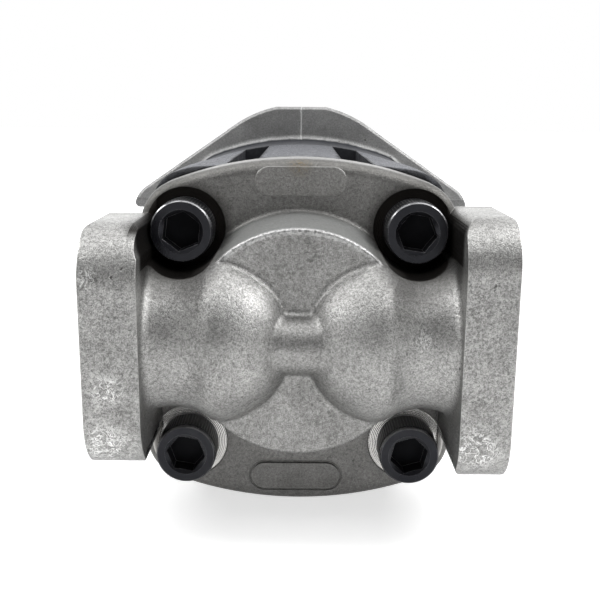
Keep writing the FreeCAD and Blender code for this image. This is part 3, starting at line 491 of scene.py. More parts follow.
# Painted shade inside the upper pockets, then darker walls for the lower ones
UPPER_POCKET_PAINTED_SHADE = ((0.020, 0.018, 0.0165), 0.97)
LOWER_POCKET_DARKENING = ((0.10, 0.095, 0.09), 0.85)
SEAT_SHADE = ((0.66, 0.65, 0.63), 1.0)
FACED_SHADE = (CUT_IRON, 0.7)

# Rear cover: metallic and roughness, and how oil, cutting and the flank change them
BARE_METAL = 0.8
FLANK_METAL = 0.3
OIL_METAL = 0.2
BARE_ROUGHNESS = (0.44, 0.30)
CUT_ROUGHNESS = 0.16
OIL_ROUGHNESS = 0.30
FLANK_ROUGHNESS = 0.22
SKIN_LEFT_BY_CUTTER = 0.12
POCKET_MARKS = 0.4
FACE_MARKS = 0.2


def plate_painted_shade(tree, base, axes, across, between_pads):
    # Painted shade darkens the recessed plate and its rolled edge, and the rib and the disc are made a
    # little darker
    recess = ramp(tree, axes["Y"], *RECESS_DEPTH)
    base = tone(tree, base, recess, PLATE_PAINTED_SHADE)
    rolled_edge = where(tree, (axes["Y"], ROLLED_EDGE_FRONT), (axes["Y"], ROLLED_EDGE_BACK))
    base = tone(tree, base, rolled_edge, ROLLED_EDGE_PAINTED_SHADE)
    rib = where(tree, (across, RIB_ACROSS), (axes["Y"], RIB_DEPTH))
    base = tone(tree, base, rib, RIB_SHADE)
    disc = ramp(tree, axes["Y"], *DISC_DEPTH)
    return tone(tree, base, times(tree, disc, between_pads), DISC_SHADE)


def top_pad_tones(tree, base, axes, across):
    # The top pad, a little paler than the plate, with a painted highlight on its rim
    pad = where(tree, (across, TOP_PAD_ACROSS), (axes["Z"], TOP_PAD_HEIGHT), (axes["Y"], TOP_PAD_DEPTH))
    rim = times(tree, pad, ramp(tree, axes["Y"], *TOP_PAD_RIM_DEPTH))
    return tone(tree, tone(tree, base, pad, TOP_PAD_SHADE), rim, TOP_PAD_RIM_HIGHLIGHT)


def disc_side(tree, axes):
    # The pale flank around the round disc, and a painted highlight along its upper rim, clear of the
    # domes
    radius = ring_distance(tree, [(0.0, DISC_Z)])
    height = absolute(tree, minus(tree, axes["Z"], DISC_Z))
    flank = where(
        tree,
        (height, CLEAR_OF_DOMES),
        (radius, FLANK_INNER),
        (radius, FLANK_OUTER),
        (axes["Y"], FLANK_FRONT),
        (axes["Y"], FLANK_BACK),
    )
    rim = where(
        tree,
        (height, CLEAR_OF_DOMES),
        (radius, RIM_INNER),
        (axes["Y"], RIM_DEPTH),
        (radius, RIM_OUTER),
        (axes["Z"], RIM_HEIGHT),
    )
    return flank, rim


def pocket_masks(tree, axes, radius, between_pads):
    # The screw pockets, the painted shade round each and the painted shadow below the upper two.
    # On the port pads they all keep clear of the front edge.
    behind = larger(tree, between_pads, ramp(tree, axes["Y"], *POCKETS_BEHIND))
    lowered = [(x, z - SHADOW_BELOW_DROP) for x, z in UPPER_BOLTS]
    pocket = times(tree, ramp(tree, radius, *POCKET_WALL), behind)
    surround_shade = times(tree, ramp(tree, radius, *POCKET_SHADE_REACH), behind)
    shadow_below = times(tree, ramp(tree, ring_distance(tree, lowered), *SHADOW_BELOW_REACH), behind)
    return pocket, times(tree, surround_shade, surround_shade), shadow_below


def pocket_painted_shade(tree, base, surround_shade, shadow_below, upper):
    # Painted shade round the upper pockets and painted shadow below them, and a little painted shade
    # round the lower two
    lower = minus(tree, 1.0, upper)
    base = tone(tree, base, times(tree, surround_shade, upper), UPPER_SURROUND_PAINTED_SHADE)
    base = tone(tree, base, times(tree, surround_shade, lower), LOWER_SURROUND_PAINTED_SHADE)
    return tone(tree, base, shadow_below, PAINTED_SHADOW_BELOW)


def pocket_tones(tree, base, axes, pocket, upper):
    # Painted shade inside the upper pockets; darker walls and freshly cut seats in the lower ones
    lower = minus(tree, 1.0, upper)
    base = tone(tree, base, times(tree, pocket, upper), UPPER_POCKET_PAINTED_SHADE)
    base = tone(tree, base, times(tree, pocket, lower), LOWER_POCKET_DARKENING)
    seat = times(tree, pocket, lower, ramp(tree, axes["Y"], *SEAT_DEPTH))
    return tone(tree, base, seat, SEAT_SHADE)


def bare_roughness(tree, coarse, cut, oily, flank):
    rough = ramp(tree, coarse, *GRAIN_SPAN, *BARE_ROUGHNESS)
    rough = minus(tree, rough, times(tree, cut, CUT_ROUGHNESS))
    rough = plus(tree, rough, times(tree, oily, OIL_ROUGHNESS))
    return plus(tree, rough, times(tree, flank, FLANK_ROUGHNESS))


def cut_marks(tree, axes, radius, pocket, faced, normal):
    # Tool marks run round the screws in the pockets and across the faced port flanges
    normal = tool_marks(tree, radius, POCKET_MARK_PITCH, times(tree, pocket, POCKET_MARKS), normal)
    return tool_marks(tree, axes["Z"], FACE_MARK_PITCH, times(tree, faced, FACE_MARKS), normal)


def bare_casting(name):
    # Grey iron of the rear cover, faced at the port flanges and cut at the screw pockets
    material, tree, shader = new_material(name)
    base, coarse, fine, pit_mask = cast_skin(tree, *BARE_IRON, BARE_CONTRAST)
    axes = position_axes(tree)
    across = absolute(tree, axes["X"])
    radius = ring_distance(tree, BOLTS)
    between_pads = ramp(tree, across, *BETWEEN_PADS)
    faced = ramp(tree, across, *FACED_ACROSS)
    upper = ramp(tree, axes["Z"], *UPPER_POCKETS)
    flank, rim = disc_side(tree, axes)
    pocket, surround_shade, shadow_below = pocket_masks(tree, axes, radius, between_pads)
    cut = larger(tree, pocket, faced)
    oily = times(tree, pocket, upper)

    base = plate_painted_shade(tree, base, axes, across, between_pads)
    base = top_pad_tones(tree, base, axes, across)
    base = tone(tree, base, flank, FLANK_SHADE)
    # Edges and creases lightened: partly wear, partly painted highlight
    base = tone(tree, base, edge_mask(tree, CAST_EDGE), CAST_EDGE_WEAR_AND_HIGHLIGHT)
    # Painted highlight along the disc's upper rim
    base = tone(tree, base, times(tree, rim, ramp(tree, coarse, *RIM_LEVELS)), RIM_PAINTED_HIGHLIGHT)
    base = pocket_painted_shade(tree, base, surround_shade, shadow_below, upper)
    base = pocket_tones(tree, base, axes, pocket, upper)
    base = wear_and_gap_shadow(tree, base, coarse)
    base = tone(tree, base, faced, FACED_SHADE)

    metal = plus(tree, times(tree, oily, OIL_METAL), fade(tree, flank, BARE_METAL, FLANK_METAL))
    rough = bare_roughness(tree, coarse, cut, oily, flank)
    normal = cast_bump(tree, coarse, fine, pit_mask, fade(tree, cut, 1.0, SKIN_LEFT_BY_CUTTER))
    normal = cut_marks(tree, axes, radius, pocket, faced, normal)
    set_shader(tree, shader, base, metal, rough, normal)
    return material


# Dark paint: textures, levels and shades

PAINT_POOLS = (90.0, 6.0, 0.75)
POOL_LEVELS = (0.32, 0.68)
PAINT_GRAIN = (500.0, 3.0, 0.6)
PAINT_RIPPLE = (320.0, 3.0, 0.65)
FLAKE_LEVELS = (0.50, 0.75)
FLAKE_SHARE = 0.4
PAINT_WEAR_LEVELS = (0.40, 0.55)
PAINT_EDGE = 1.0 * MM
THIN_PAINT = (0.048, 0.050, 0.056)
THICK_PAINT = (0.080, 0.084, 0.094)
FLAKE_COLOUR = (0.130, 0.135, 0.148)
PAINT_WEAR_SHADE = ((0.30, 0.30, 0.31), 0.7)


def paint_coat(tree):
    # Dark metallic paint in uneven thickness, rubbed off along the edges
    pooled = noise(tree, *PAINT_POOLS)
    grain = noise(tree, *PAINT_GRAIN)
    coat = mix_colour(tree, ramp(tree, pooled, *POOL_LEVELS), THIN_PAINT, THICK_PAINT)
    coat = mix_colour(tree, ramp(tree, grain, *FLAKE_LEVELS, 0.0, FLAKE_SHARE), coat, FLAKE_COLOUR)
    worn = times(tree, edge_mask(tree, PAINT_EDGE), ramp(tree, grain, *PAINT_WEAR_LEVELS))
    return tone(tree, coat, worn, PAINT_WEAR_SHADE), pooled, grain


# Front cover: lengths in metres. A pair is where a mask starts and where it is full.

PARTING_LINE_ACROSS = (0.55 * MM, 0.25 * MM)
PARTING_LINE_HEIGHT = (50.0 * MM, 52.0 * MM)
PARTING_LINE_DEPTH = (-0.3 * MM, -0.6 * MM)
PARTING_LINE_WANDER = 0.8 * MM
TURNED_DEPTH = (-0.5 * MM, -0.2 * MM)
PAINTED_DEPTH = (0.5 * MM - FLANGE_THICKNESS, -0.5 * MM - FLANGE_THICKNESS)
PAINTED_WANDER = 3.0 * MM
TURNED_MARK_PITCH = 0.9 * MM

# Front cover: textures, shades, finish and the height and strength of the parting line's ridge
FLANGE_IRON = ((0.25, 0.25, 0.248), (0.345, 0.345, 0.343))
FLANGE_CONTRAST = 0.5
RING_LEVELS = (0.35, 0.65)
HANDLING = (28.0, 5.0, 0.7)
HANDLING_LEVELS = (0.45, 0.62)
PARTING_LINE_SHADE = ((0.62, 0.62, 0.62), 0.6)
# Lightened flange edges, partly wear and partly painted highlight
FLANGE_EDGE_WEAR_AND_HIGHLIGHT = ((0.60, 0.60, 0.585), 0.3)
TURNED_SHADE = (CUT_IRON, 0.85)
RING_SHADE = ((0.22, 0.22, 0.215), 0.45)
HANDLING_SHADE = ((0.17, 0.165, 0.155), 0.30)
OVERSPRAY_COLOUR = (0.012, 0.012, 0.014)
OVERSPRAY_SHARE = 0.45
FLANGE_METAL = 0.7
FLANGE_PAINT_METAL = 0.4
FLANGE_ROUGHNESS = (0.58, 0.44)
FLANGE_PAINT_ROUGHNESS = 0.12
TURNED_ROUGHNESS = 0.18
FLANGE_RELIEF = 0.6
TURNED_RELIEF = 0.1
TURNED_MARKS = 0.4
PARTING_RIDGE = (0.4 * MM, 0.8)
FLANGE_TINT = (0.55, 0.56, 0.58)


def parting_line(tree, axes, coarse):
    # Ridge left by the mould down the middle of the flange's upper edge
    wander = times(tree, minus(tree, coarse, MIDDLE_LEVEL), PARTING_LINE_WANDER)
    off_line = absolute(tree, plus(tree, axes["X"], wander))
    return where(
        tree,
        (off_line, PARTING_LINE_ACROSS),
        (axes["Z"], PARTING_LINE_HEIGHT),
        (axes["Y"], PARTING_LINE_DEPTH),
    )


def turned_tones(tree, base, turned, from_axis):
    # Turned mounting face and pilot, dulled by handling
    rings = ramp(tree, turned_rings(tree, from_axis), *RING_LEVELS)
    handled = ramp(tree, noise(tree, *HANDLING), *HANDLING_LEVELS)
    base = tone(tree, base, turned, TURNED_SHADE)
    base = tone(tree, base, times(tree, turned, rings), RING_SHADE)
    return tone(tree, base, times(tree, turned, handled), HANDLING_SHADE)


def flange_casting(name):
    # Iron of the front cover, turned in front, with dark paint carried over from the housing
    material, tree, shader = new_material(name)
    base, coarse, fine, pit_mask = cast_skin(tree, *FLANGE_IRON, FLANGE_CONTRAST)
    axes = position_axes(tree)
    line = parting_line(tree, axes, coarse)
    base = tone(tree, base, line, PARTING_LINE_SHADE)
    # Edges lightened: partly wear, partly painted highlight
    base = tone(tree, base, edge_mask(tree, CAST_EDGE), FLANGE_EDGE_WEAR_AND_HIGHLIGHT)
    turned = ramp(tree, axes["Y"], *TURNED_DEPTH)
    from_axis = ring_distance(tree, SHAFT_AXIS)
    base = turned_tones(tree, base, turned, from_axis)
    coat, pooled, _ = paint_coat(tree)
    paint = ramp(tree, plus(tree, axes["Y"], times(tree, pooled, PAINTED_WANDER)), *PAINTED_DEPTH)
    base = mix_colour(tree, paint, base, mix_colour(tree, OVERSPRAY_SHARE, coat, OVERSPRAY_COLOUR))
    rough = ramp(tree, coarse, *GRAIN_SPAN, *FLANGE_ROUGHNESS)
    rough = plus(tree, rough, times(tree, paint, FLANGE_PAINT_ROUGHNESS))
    rough = minus(tree, rough, times(tree, turned, TURNED_ROUGHNESS))
    metal = fade(tree, paint, FLANGE_METAL, FLANGE_PAINT_METAL)
    relief = fade(tree, turned, FLANGE_RELIEF, TURNED_RELIEF)
    normal = cast_bump(tree, coarse, fine, pit_mask, relief)
    normal = bump_over(tree, line, *PARTING_RIDGE, normal)
    normal = tool_marks(tree, from_axis, TURNED_MARK_PITCH, times(tree, turned, TURNED_MARKS), normal)
    set_shader(tree, shader, base, metal, rough, normal, FLANGE_TINT)
    return material


# Gear housing: lengths in metres. A pair is where a mask starts and where it is full.

NOTCH_INNER = (NOTCH_NEAR - 1.5 * MM, NOTCH_NEAR)
NOTCH_OUTER = (NOTCH_FAR + 1.5 * MM, NOTCH_FAR)
NOTCH_FADE = (120.0 * MM, 40.0 * MM)
BESIDE_LUGS_ACROSS = (55.0 * MM, 60.0 * MM)
BESIDE_LUGS_DEPTH = (30.0 * MM, 10.0 * MM)
JOINT_BLACK = (4.0 * MM, 1.5 * MM)
POOL_WANDER = 24.0 * MM
SOFT_PAINT_EDGE = 0.6 * MM
GLINT_DEPTH = (60.0 * MM, 15.0 * MM)

# Gear housing: shares, levels, shades, finish and relief
# Painted glints near the rear joint
GLINT_SHARES = (0.06, 0.18)
GLINT_COLOUR = (0.30, 0.31, 0.34)
# Near-black paint beside the lugs and along the joint, and painted shade in the notches
BLACK_PAINT_AND_NOTCH_SHADE = ((0.008, 0.008, 0.009), 0.85)
NOTCH_FAR_SHARE = 0.35
ACROSS_WANDER_SHARE = 0.25
RIPPLE_LEVELS = (0.50, 0.62)
PAINT_METAL = 0.6
BLACK_PAINT_AND_NOTCH_METAL = 0.1
PAINT_ROUGHNESS = (0.34, 0.52)
BLACK_PAINT_AND_NOTCH_ROUGHNESS = 0.3
PAINT_GRAIN_RELIEF = (1.0 * MM, 0.7)
PAINT_RIPPLE_RELIEF = (2.0 * MM, 0.8)
PAINT_POOL_RELIEF = (3.6 * MM, 0.7)
PAINT_TINT = (0.74, 0.75, 0.79)


def black_paint_and_notch_shade(tree, across, from_joint):
    # Near-black paint beside the lugs and along the rear joint, and painted shade down the notches
    in_notch = times(
        tree,
        ramp(tree, across, *NOTCH_INNER),
        ramp(tree, across, *NOTCH_OUTER),
        ramp(tree, from_joint, *NOTCH_FADE, NOTCH_FAR_SHARE, 1.0),
    )
    beside_lugs = where(tree, (across, BESIDE_LUGS_ACROSS), (from_joint, BESIDE_LUGS_DEPTH))
    black = larger(tree, beside_lugs, ramp(tree, from_joint, *JOINT_BLACK))
    return larger(tree, black, in_notch)


def dark_paint(name):
    # Painted casting of the housing
    material, tree, shader = new_material(name)
    base, pooled, grain = paint_coat(tree)
    axes = position_axes(tree)
    wander = times(tree, minus(tree, pooled, MIDDLE_LEVEL), POOL_WANDER)
    across = plus(tree, absolute(tree, axes["X"]), times(tree, wander, ACROSS_WANDER_SHARE))
    from_joint = plus(tree, minus(tree, axes["Y"], HOUSING_REAR_Y), wander)
    black = black_paint_and_notch_shade(tree, across, from_joint)
    ripple = noise(tree, *PAINT_RIPPLE)
    # Painted glints: bright flecks mixed into the paint's colour near the rear joint
    near_joint = ramp(tree, from_joint, *GLINT_DEPTH, *GLINT_SHARES)
    glints = times(tree, ramp(tree, ripple, *RIPPLE_LEVELS), near_joint)
    base = mix_colour(tree, glints, base, GLINT_COLOUR)
    # Near-black paint beside the lugs and along the joint, and painted shade down the notches
    base = tone(tree, base, black, BLACK_PAINT_AND_NOTCH_SHADE)
    metal = fade(tree, black, PAINT_METAL, BLACK_PAINT_AND_NOTCH_METAL)
    rough = ramp(tree, grain, *GRAIN_SPAN, *PAINT_ROUGHNESS)
    rough = plus(tree, rough, times(tree, black, BLACK_PAINT_AND_NOTCH_ROUGHNESS))
    layers = [
        (grain, *PAINT_GRAIN_RELIEF),
        (ripple, *PAINT_RIPPLE_RELIEF),
        (pooled, *PAINT_POOL_RELIEF),
    ]
    set_shader(tree, shader, base, metal, rough, bump(tree, layers, SOFT_PAINT_EDGE), PAINT_TINT)
    return material


# Screws: textures, levels, shades and finish. Lengths are in metres.

SCREW_HAZE = (160.0, 4.0, 0.6)
OIL_FILM = (70.0, 3.0, 0.6)
OIL_FILM_LEVELS = (0.38, 0.66)
HEAD_SCRATCHES = (1200.0, 2.0, 0.5)
HEAD_SCRATCH_RELIEF = (0.1 * MM, 0.15)
SOCKET_WALL = (SOCKET_RADIUS + 0.4 * MM, SOCKET_RADIUS)
SOCKET_DEPTH = (HEAD_FRONT_Y + 0.8 * MM, HEAD_FRONT_Y + 1.6 * MM)
HEAD_RIM = (HEAD_RADIUS - 1.4 * MM, HEAD_RADIUS - 1.1 * MM)
FACING_UP = (0.10, 0.45)
HEAD_RIM_LEVELS = (0.36, 0.56)
# Shares of the painted highlight on the upper rims and of the lightened edges, partly wear and partly
# painted highlight
LEAST_RIM_HIGHLIGHT = 0.25
HEAD_EDGE = 0.35 * MM
HEAD_EDGE_WEAR_AND_HIGHLIGHT = 0.75
HEAD_RIM_HIGHLIGHT = 0.80
SOFT_HEAD_EDGE = 0.4 * MM
THIN_FILM = (0.004, 0.004, 0.006)
THICK_FILM = (0.016, 0.016, 0.018)
# Painted shade inside the hexagon sockets
SOCKET_PAINTED_SHADE = ((0.003, 0.003, 0.0035), 1.0)
# Colour and metal of the lightened edges and of the painted highlight on the upper rims
HEAD_WEAR_AND_HIGHLIGHT = ((0.42, 0.42, 0.43), 1.0)
HEAD_WEAR_AND_HIGHLIGHT_METAL = 0.9
HEAD_ROUGHNESS = (0.16, 0.26)
SOCKET_ROUGHNESS = 0.60
HEAD_TINT = (0.44, 0.45, 0.50)
CREST = (HEAD_RADIUS + 0.14 * MM, HEAD_RADIUS + 0.21 * MM)
CREST_LEVELS = (0.45, 0.60)
CREST_SHADE = ((0.25, 0.25, 0.25), 0.5)
KNURL_LEVELS = (0.35, 0.7)
KNURL_BLACKS = ((0.004, 0.004, 0.005), (0.009, 0.009, 0.010))
KNURL_SCRATCHES = (1500.0, 2.0, 0.5)
KNURL_SCRATCH_RELIEF = (0.1 * MM, 0.2)
KNURL_ROUGHNESS = (0.34, 0.46)
KNURL_TINT = (0.22, 0.23, 0.25)


def head_wear_and_highlight(tree, radius, haze):
    # Edges partly rubbed to bare steel and partly lit with painted highlight, and most of all a painted
    # highlight on the upper side of each head's rim
    split = add(tree, "ShaderNodeSeparateXYZ")
    tree.links.new(add(tree, "ShaderNodeNewGeometry").outputs["Normal"], split.inputs[0])
    rim = times(
        tree,
        ramp(tree, radius, *HEAD_RIM),
        ramp(tree, split.outputs["Z"], *FACING_UP),
        ramp(tree, haze, *HEAD_RIM_LEVELS, LEAST_RIM_HIGHLIGHT, 1.0),
    )
    edges = times(tree, edge_mask(tree, HEAD_EDGE), HEAD_EDGE_WEAR_AND_HIGHLIGHT)
    return larger(tree, edges, times(tree, rim, HEAD_RIM_HIGHLIGHT))


def black_oxide(name):
    # Oiled black finish, dull inside the hexagon sockets, which are darkened with painted shade
    material, tree, shader = new_material(name)
    haze = noise(tree, *SCREW_HAZE)
    radius = ring_distance(tree, BOLTS)
    socket = where(tree, (radius, SOCKET_WALL), (position_axes(tree)["Y"], SOCKET_DEPTH))
    film = ramp(tree, noise(tree, *OIL_FILM), *OIL_FILM_LEVELS)
    base = mix_colour(tree, film, THIN_FILM, THICK_FILM)
    base = tone(tree, base, socket, SOCKET_PAINTED_SHADE)
    worn = head_wear_and_highlight(tree, radius, haze)
    # Lightened edges, partly wear and partly painted highlight, and painted highlight on the upper rims
    base = tone(tree, base, worn, HEAD_WEAR_AND_HIGHLIGHT)
    rough = ramp(tree, haze, *GRAIN_SPAN, *HEAD_ROUGHNESS)
    rough = plus(tree, rough, times(tree, socket, SOCKET_ROUGHNESS))
    metal = times(tree, worn, HEAD_WEAR_AND_HIGHLIGHT_METAL)
    normal = bump(tree, [(noise(tree, *HEAD_SCRATCHES), *HEAD_SCRATCH_RELIEF)], SOFT_HEAD_EDGE)
    set_shader(tree, shader, base, metal, rough, normal, HEAD_TINT)
    return material


def black_knurl(name):
    # Dull black flanks of the knurled heads, with bare steel on the crests
    material, tree, shader = new_material(name)
    haze = noise(tree, *SCREW_HAZE)
    crest = ramp(tree, ring_distance(tree, BOLTS), *CREST)
    worn = times(tree, crest, ramp(tree, haze, *CREST_LEVELS))
    base = mix_colour(tree, ramp(tree, haze, *KNURL_LEVELS), *KNURL_BLACKS)
    base = tone(tree, base, worn, CREST_SHADE)
    rough = ramp(tree, haze, *GRAIN_SPAN, *KNURL_ROUGHNESS)
    normal = bump(tree, [(noise(tree, *KNURL_SCRATCHES), *KNURL_SCRATCH_RELIEF)])
    set_shader(tree, shader, base, 0.0, rough, normal, KNURL_TINT)
    return material


# Ground metals and soft materials: colour and roughness of each slot, then their textures

GROUND_METALS = {
    "ground_steel": ((0.46, 0.46, 0.47), 0.28),
    "block_alloy": ((0.60, 0.60, 0.585), 0.34),
    "bush_bronze": ((0.58, 0.42, 0.22), 0.36),
    "seal_steel": ((0.42, 0.42, 0.43), 0.36),
    "spring_steel": ((0.30, 0.30, 0.31), 0.32),
}
SOFT_MATERIALS = {
    "black_rubber": ((0.022, 0.022, 0.023), 0.62),
    "white_plastic": ((0.78, 0.77, 0.73), 0.5),
}
GRINDING_MARKS = (120.0, 3.0, 0.6)
ROUND_THE_SHAFT = (1.0, 30.0, 1.0)
GROUND_HAZE = (60.0, 4.0, 0.6)
GROUND_LEVELS = (0.35, 0.65)
GROUND_DARKER = 0.72
GROUND_SMOOTHEST = -0.06
GROUND_ROUGHEST = 0.10
GROUND_RELIEF = (0.1 * MM, 0.2)
SOFT_GROUND_EDGE = 0.2 * MM
SOFT_GRAIN = (900.0, 3.0, 0.6)
SOFT_HAZE = (120.0, 3.0, 0.5)
SOFT_DARKER = 0.7
SOFT_ROUGHNESS_SWING = 0.08
SOFT_RELIEF = (0.1 * MM, 0.3)


def darker(colour, share):
    return tuple(channel * share for channel in colour)


def ground_metal(name, colour, roughness):
    # Ground round the shaft: fine marks run round the Y axis
    material, tree, shader = new_material(name)
    marks = noise(tree, *GRINDING_MARKS, ROUND_THE_SHAFT)
    haze = ramp(tree, noise(tree, *GROUND_HAZE), *GROUND_LEVELS)
    base = mix_colour(tree, haze, darker(colour, GROUND_DARKER), colour)
    rough = ramp(tree, marks, *GRAIN_SPAN, roughness + GROUND_SMOOTHEST, roughness + GROUND_ROUGHEST)
    normal = bump(tree, [(marks, *GROUND_RELIEF)], SOFT_GROUND_EDGE)
    set_shader(tree, shader, base, 1.0, rough, normal)
    return material


def soft_material(name, colour, roughness):
    material, tree, shader = new_material(name)
    grain = noise(tree, *SOFT_GRAIN)
    haze = ramp(tree, noise(tree, *SOFT_HAZE), *GRAIN_SPAN)
    base = mix_colour(tree, haze, darker(colour, SOFT_DARKER), colour)
    smoothest = roughness - SOFT_ROUGHNESS_SWING
    rough = ramp(tree, grain, *GRAIN_SPAN, smoothest, roughness + SOFT_ROUGHNESS_SWING)
    set_shader(tree, shader, base, 0.0, rough, bump(tree, [(grain, *SOFT_RELIEF)]))
    return material


def make_finishes():
    # One material for each of the record's slots
    finishes = {
        "bare_casting": bare_casting("bare_casting"),
        "flange_casting": flange_casting("flange_casting"),
        "painted_casting": dark_paint("painted_casting"),
        "black_steel": black_oxide("black_steel"),
    }
    for slot, (colour, roughness) in GROUND_METALS.items():
        finishes[slot] = ground_metal(slot, colour, roughness)
    for slot, (colour, roughness) in SOFT_MATERIALS.items():
        finishes[slot] = soft_material(slot, colour, roughness)
    return finishes


def dress_nodes(finishes):
    for entry in frame["record"]["subparts"]:
        slots = frame["nodes"][entry["node"]].data.materials
        slots.clear()
        slots.append(finishes[entry["material_slot"]])


# Knurled sides of the screw heads, metres

KNURL_TEETH = 64
KNURL_ROOT = HEAD_RADIUS + 0.01 * MM
KNURL_CREST = HEAD_RADIUS + 0.22 * MM
KNURL_FRONT_Y = HEAD_FRONT_Y + 2.2 * MM
KNURL_BACK_Y = HEAD_FRONT_Y + HEAD_HEIGHT - 1.0 * MM
KNURL_FRONT_EASE = 0.5 * MM
KNURL_BACK_EASE = 0.4 * MM
KNURL_END_SHRINK = 0.97


def mesh_piece(name, vertices, faces, material):
    mesh = bpy.data.meshes.new(name)
    mesh.from_pydata(vertices, [], faces)
    mesh.materials.append(material)
    piece = bpy.data.objects.new(name, mesh)
    bpy.context.collection.objects.link(piece)
    return piece


def toothed_ring():
    points = []
    for index in range(KNURL_TEETH * 2):
        angle = math.pi * index / KNURL_TEETH
        radius = KNURL_CREST if index % 2 else KNURL_ROOT
        points.append((radius * math.cos(angle), radius * math.sin(angle)))
    return points


def knurled_sleeve(name, x, z, material):
    # Thin toothed band round one screw head, drawn in at both ends
    sections = [
        (KNURL_FRONT_Y, KNURL_END_SHRINK),
        (KNURL_FRONT_Y + KNURL_FRONT_EASE, 1.0),
        (KNURL_BACK_Y - KNURL_BACK_EASE, 1.0),
        (KNURL_BACK_Y, KNURL_END_SHRINK),
    ]
    ring = toothed_ring()
    vertices = []
    for y, shrink in sections:
        vertices += [(x + px * shrink, y, z + pz * shrink) for px, pz in ring]
    faces = []
    for row in range(len(sections) - 1):
        low = row * len(ring)
        high = low + len(ring)
        for index in range(len(ring)):
            following = (index + 1) % len(ring)
            faces.append((low + index, low + following, high + following, high + index))
    sleeve = mesh_piece(name, vertices, faces, material)
    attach(sleeve, "pump_body")


# Painted shoulders of the housing beside the upper lugs: angles in degrees, the rest in metres

SHOULDER_START = 19.0
CROWN_START = 69.4
SHOULDER_END = 77.5
ARC_STEPS = 16
SHOULDER_RISE = 2.6 * MM
SHOULDER_FOOT = -0.3 * MM
SHOULDER_UNDERSIDE = -1.2 * MM
SHOULDER_ROUNDNESS = 1.3

# Distance forward of the rear joint, and the share of the full rise there
SHOULDER_STATIONS = [
    (0.15 * MM, 0.40),
    (0.5 * MM, 0.68),
    (1.1 * MM, 0.88),
    (2.2 * MM, 1.0),
    (20.0 * MM, 1.0),
    (45.0 * MM, 0.96),
    (70.0 * MM, 0.75),
    (95.0 * MM, 0.35),
    (115.0 * MM, 0.08),
    (125.0 * MM, 0.0),
]


def arc_points(centre, radius, start, end, indices):
    # Points of the arc and their outward directions, for the given steps out of ARC_STEPS
    points = []
    for index in indices:
        angle = math.radians(start + (end - start) * index / ARC_STEPS)
        direction = Vector((math.cos(angle), math.sin(angle)))
        points.append((Vector(centre) + direction * radius, direction))
    return points


def shoulder_path():
    # The housing's outline from the side of the right lug to its crown: place, outward direction
    # and how much of the full rise the shoulder has there
    lug = UPPER_BOLTS[1]
    path = arc_points(lug, LUG_RADIUS, SHOULDER_START, CROWN_START, range(ARC_STEPS + 1))
    crown = (0.0, CROWN_CENTRE_Z)
    path += arc_points(crown, CROWN_RADIUS, CROWN_START, SHOULDER_END, range(1, ARC_STEPS + 1))
    last = len(path) - 1
    swell = [math.sin(math.pi * index / last) ** SHOULDER_ROUNDNESS for index in range(last + 1)]
    return [(point, direction, share) for (point, direction), share in zip(path, swell)]


def closed_sheet(width, rows):
    # Faces of an upper sheet and its underside, and of the strip that closes them all round
    under = width * rows
    faces = []
    for row in range(rows - 1):
        for index in range(width - 1):
            corner = row * width + index
            quad = [corner, corner + 1, corner + 1 + width, corner + width]
            faces.append(quad)
            faces.append([under + number for number in reversed(quad)])
    rim = list(range(width))
    rim += [row * width + width - 1 for row in range(1, rows)]
    rim += [(rows - 1) * width + index for index in range(width - 2, -1, -1)]
    rim += [row * width for row in range(rows - 2, 0, -1)]
    for corner, following in zip(rim, rim[1:] + rim[:1]):
        faces.append([following, corner, under + corner, under + following])
    return faces


def housing_shoulder(name, side, material):
    # Low cast shoulder that starts at the rear joint and fades forward into the housing
    path = shoulder_path()
    vertices = []
    for foot, rise in ((SHOULDER_FOOT, SHOULDER_RISE - SHOULDER_FOOT), (SHOULDER_UNDERSIDE, 0.0)):
        for along, share in SHOULDER_STATIONS:
            for point, direction, swell in path:
                x, z = point + direction * (foot + rise * share * swell)
                vertices.append((side * x, HOUSING_REAR_Y + along, z))
    faces = closed_sheet(len(path), len(SHOULDER_STATIONS))
    if side > 0:
        faces = [list(reversed(face)) for face in faces]
    shoulder = mesh_piece(name, vertices, faces, material)
    shoulder.data.shade_smooth()
    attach(shoulder, "pump_body")


# Stage: sizes in metres, light in watts

AMBIENT_STRENGTH = 0.25
ROOM_STRENGTH = 0.10
ROOM_DIRECTION = (-0.92, -0.35)
FLOOR_SIZE = 12.0
FLOOR_GAP = 0.2 * MM
FLOOR_COLOUR = (0.95, 0.95, 0.95)
FLOOR_ROUGHNESS = 0.9
FLOOR_SPECULAR = 0.1
FLOOR_GLOW_REACH = (0.30, 1.3)
FLOOR_GLOW = (0.62, 1.0)
FLOOR_MIRRORED = 0.72
LIGHT_FOCUS = (0.0, -0.22, -0.01)


def light_path(tree):
    # 1 for camera rays, and 1 for the rays by which shiny and clear surfaces show what is around them
    rays = tree.nodes.new("ShaderNodeLightPath").outputs
    return rays["Is Camera Ray"], larger(tree, rays["Is Glossy Ray"], rays["Is Transmission Ray"])


def build_world():
    # White wherever the camera looks. Metal shows the white too, but a dim room behind the camera.
    world = bpy.data.worlds.new("studio")
    world.use_nodes = True
    bpy.context.scene.world = world
    tree = world.node_tree
    camera, mirrored = light_path(tree)
    direction = tree.nodes.new("ShaderNodeSeparateXYZ")
    tree.links.new(tree.nodes.new("ShaderNodeTexCoord").outputs["Generated"], direction.inputs[0])
    room = ramp(tree, direction.outputs["Y"], *ROOM_DIRECTION, ROOM_STRENGTH, 1.0)
    strength = larger(tree, fade(tree, mirrored, AMBIENT_STRENGTH, room), camera)
    background = tree.nodes["Background"]
    background.inputs["Color"].default_value = WHITE
    tree.links.new(strength, background.inputs["Strength"])


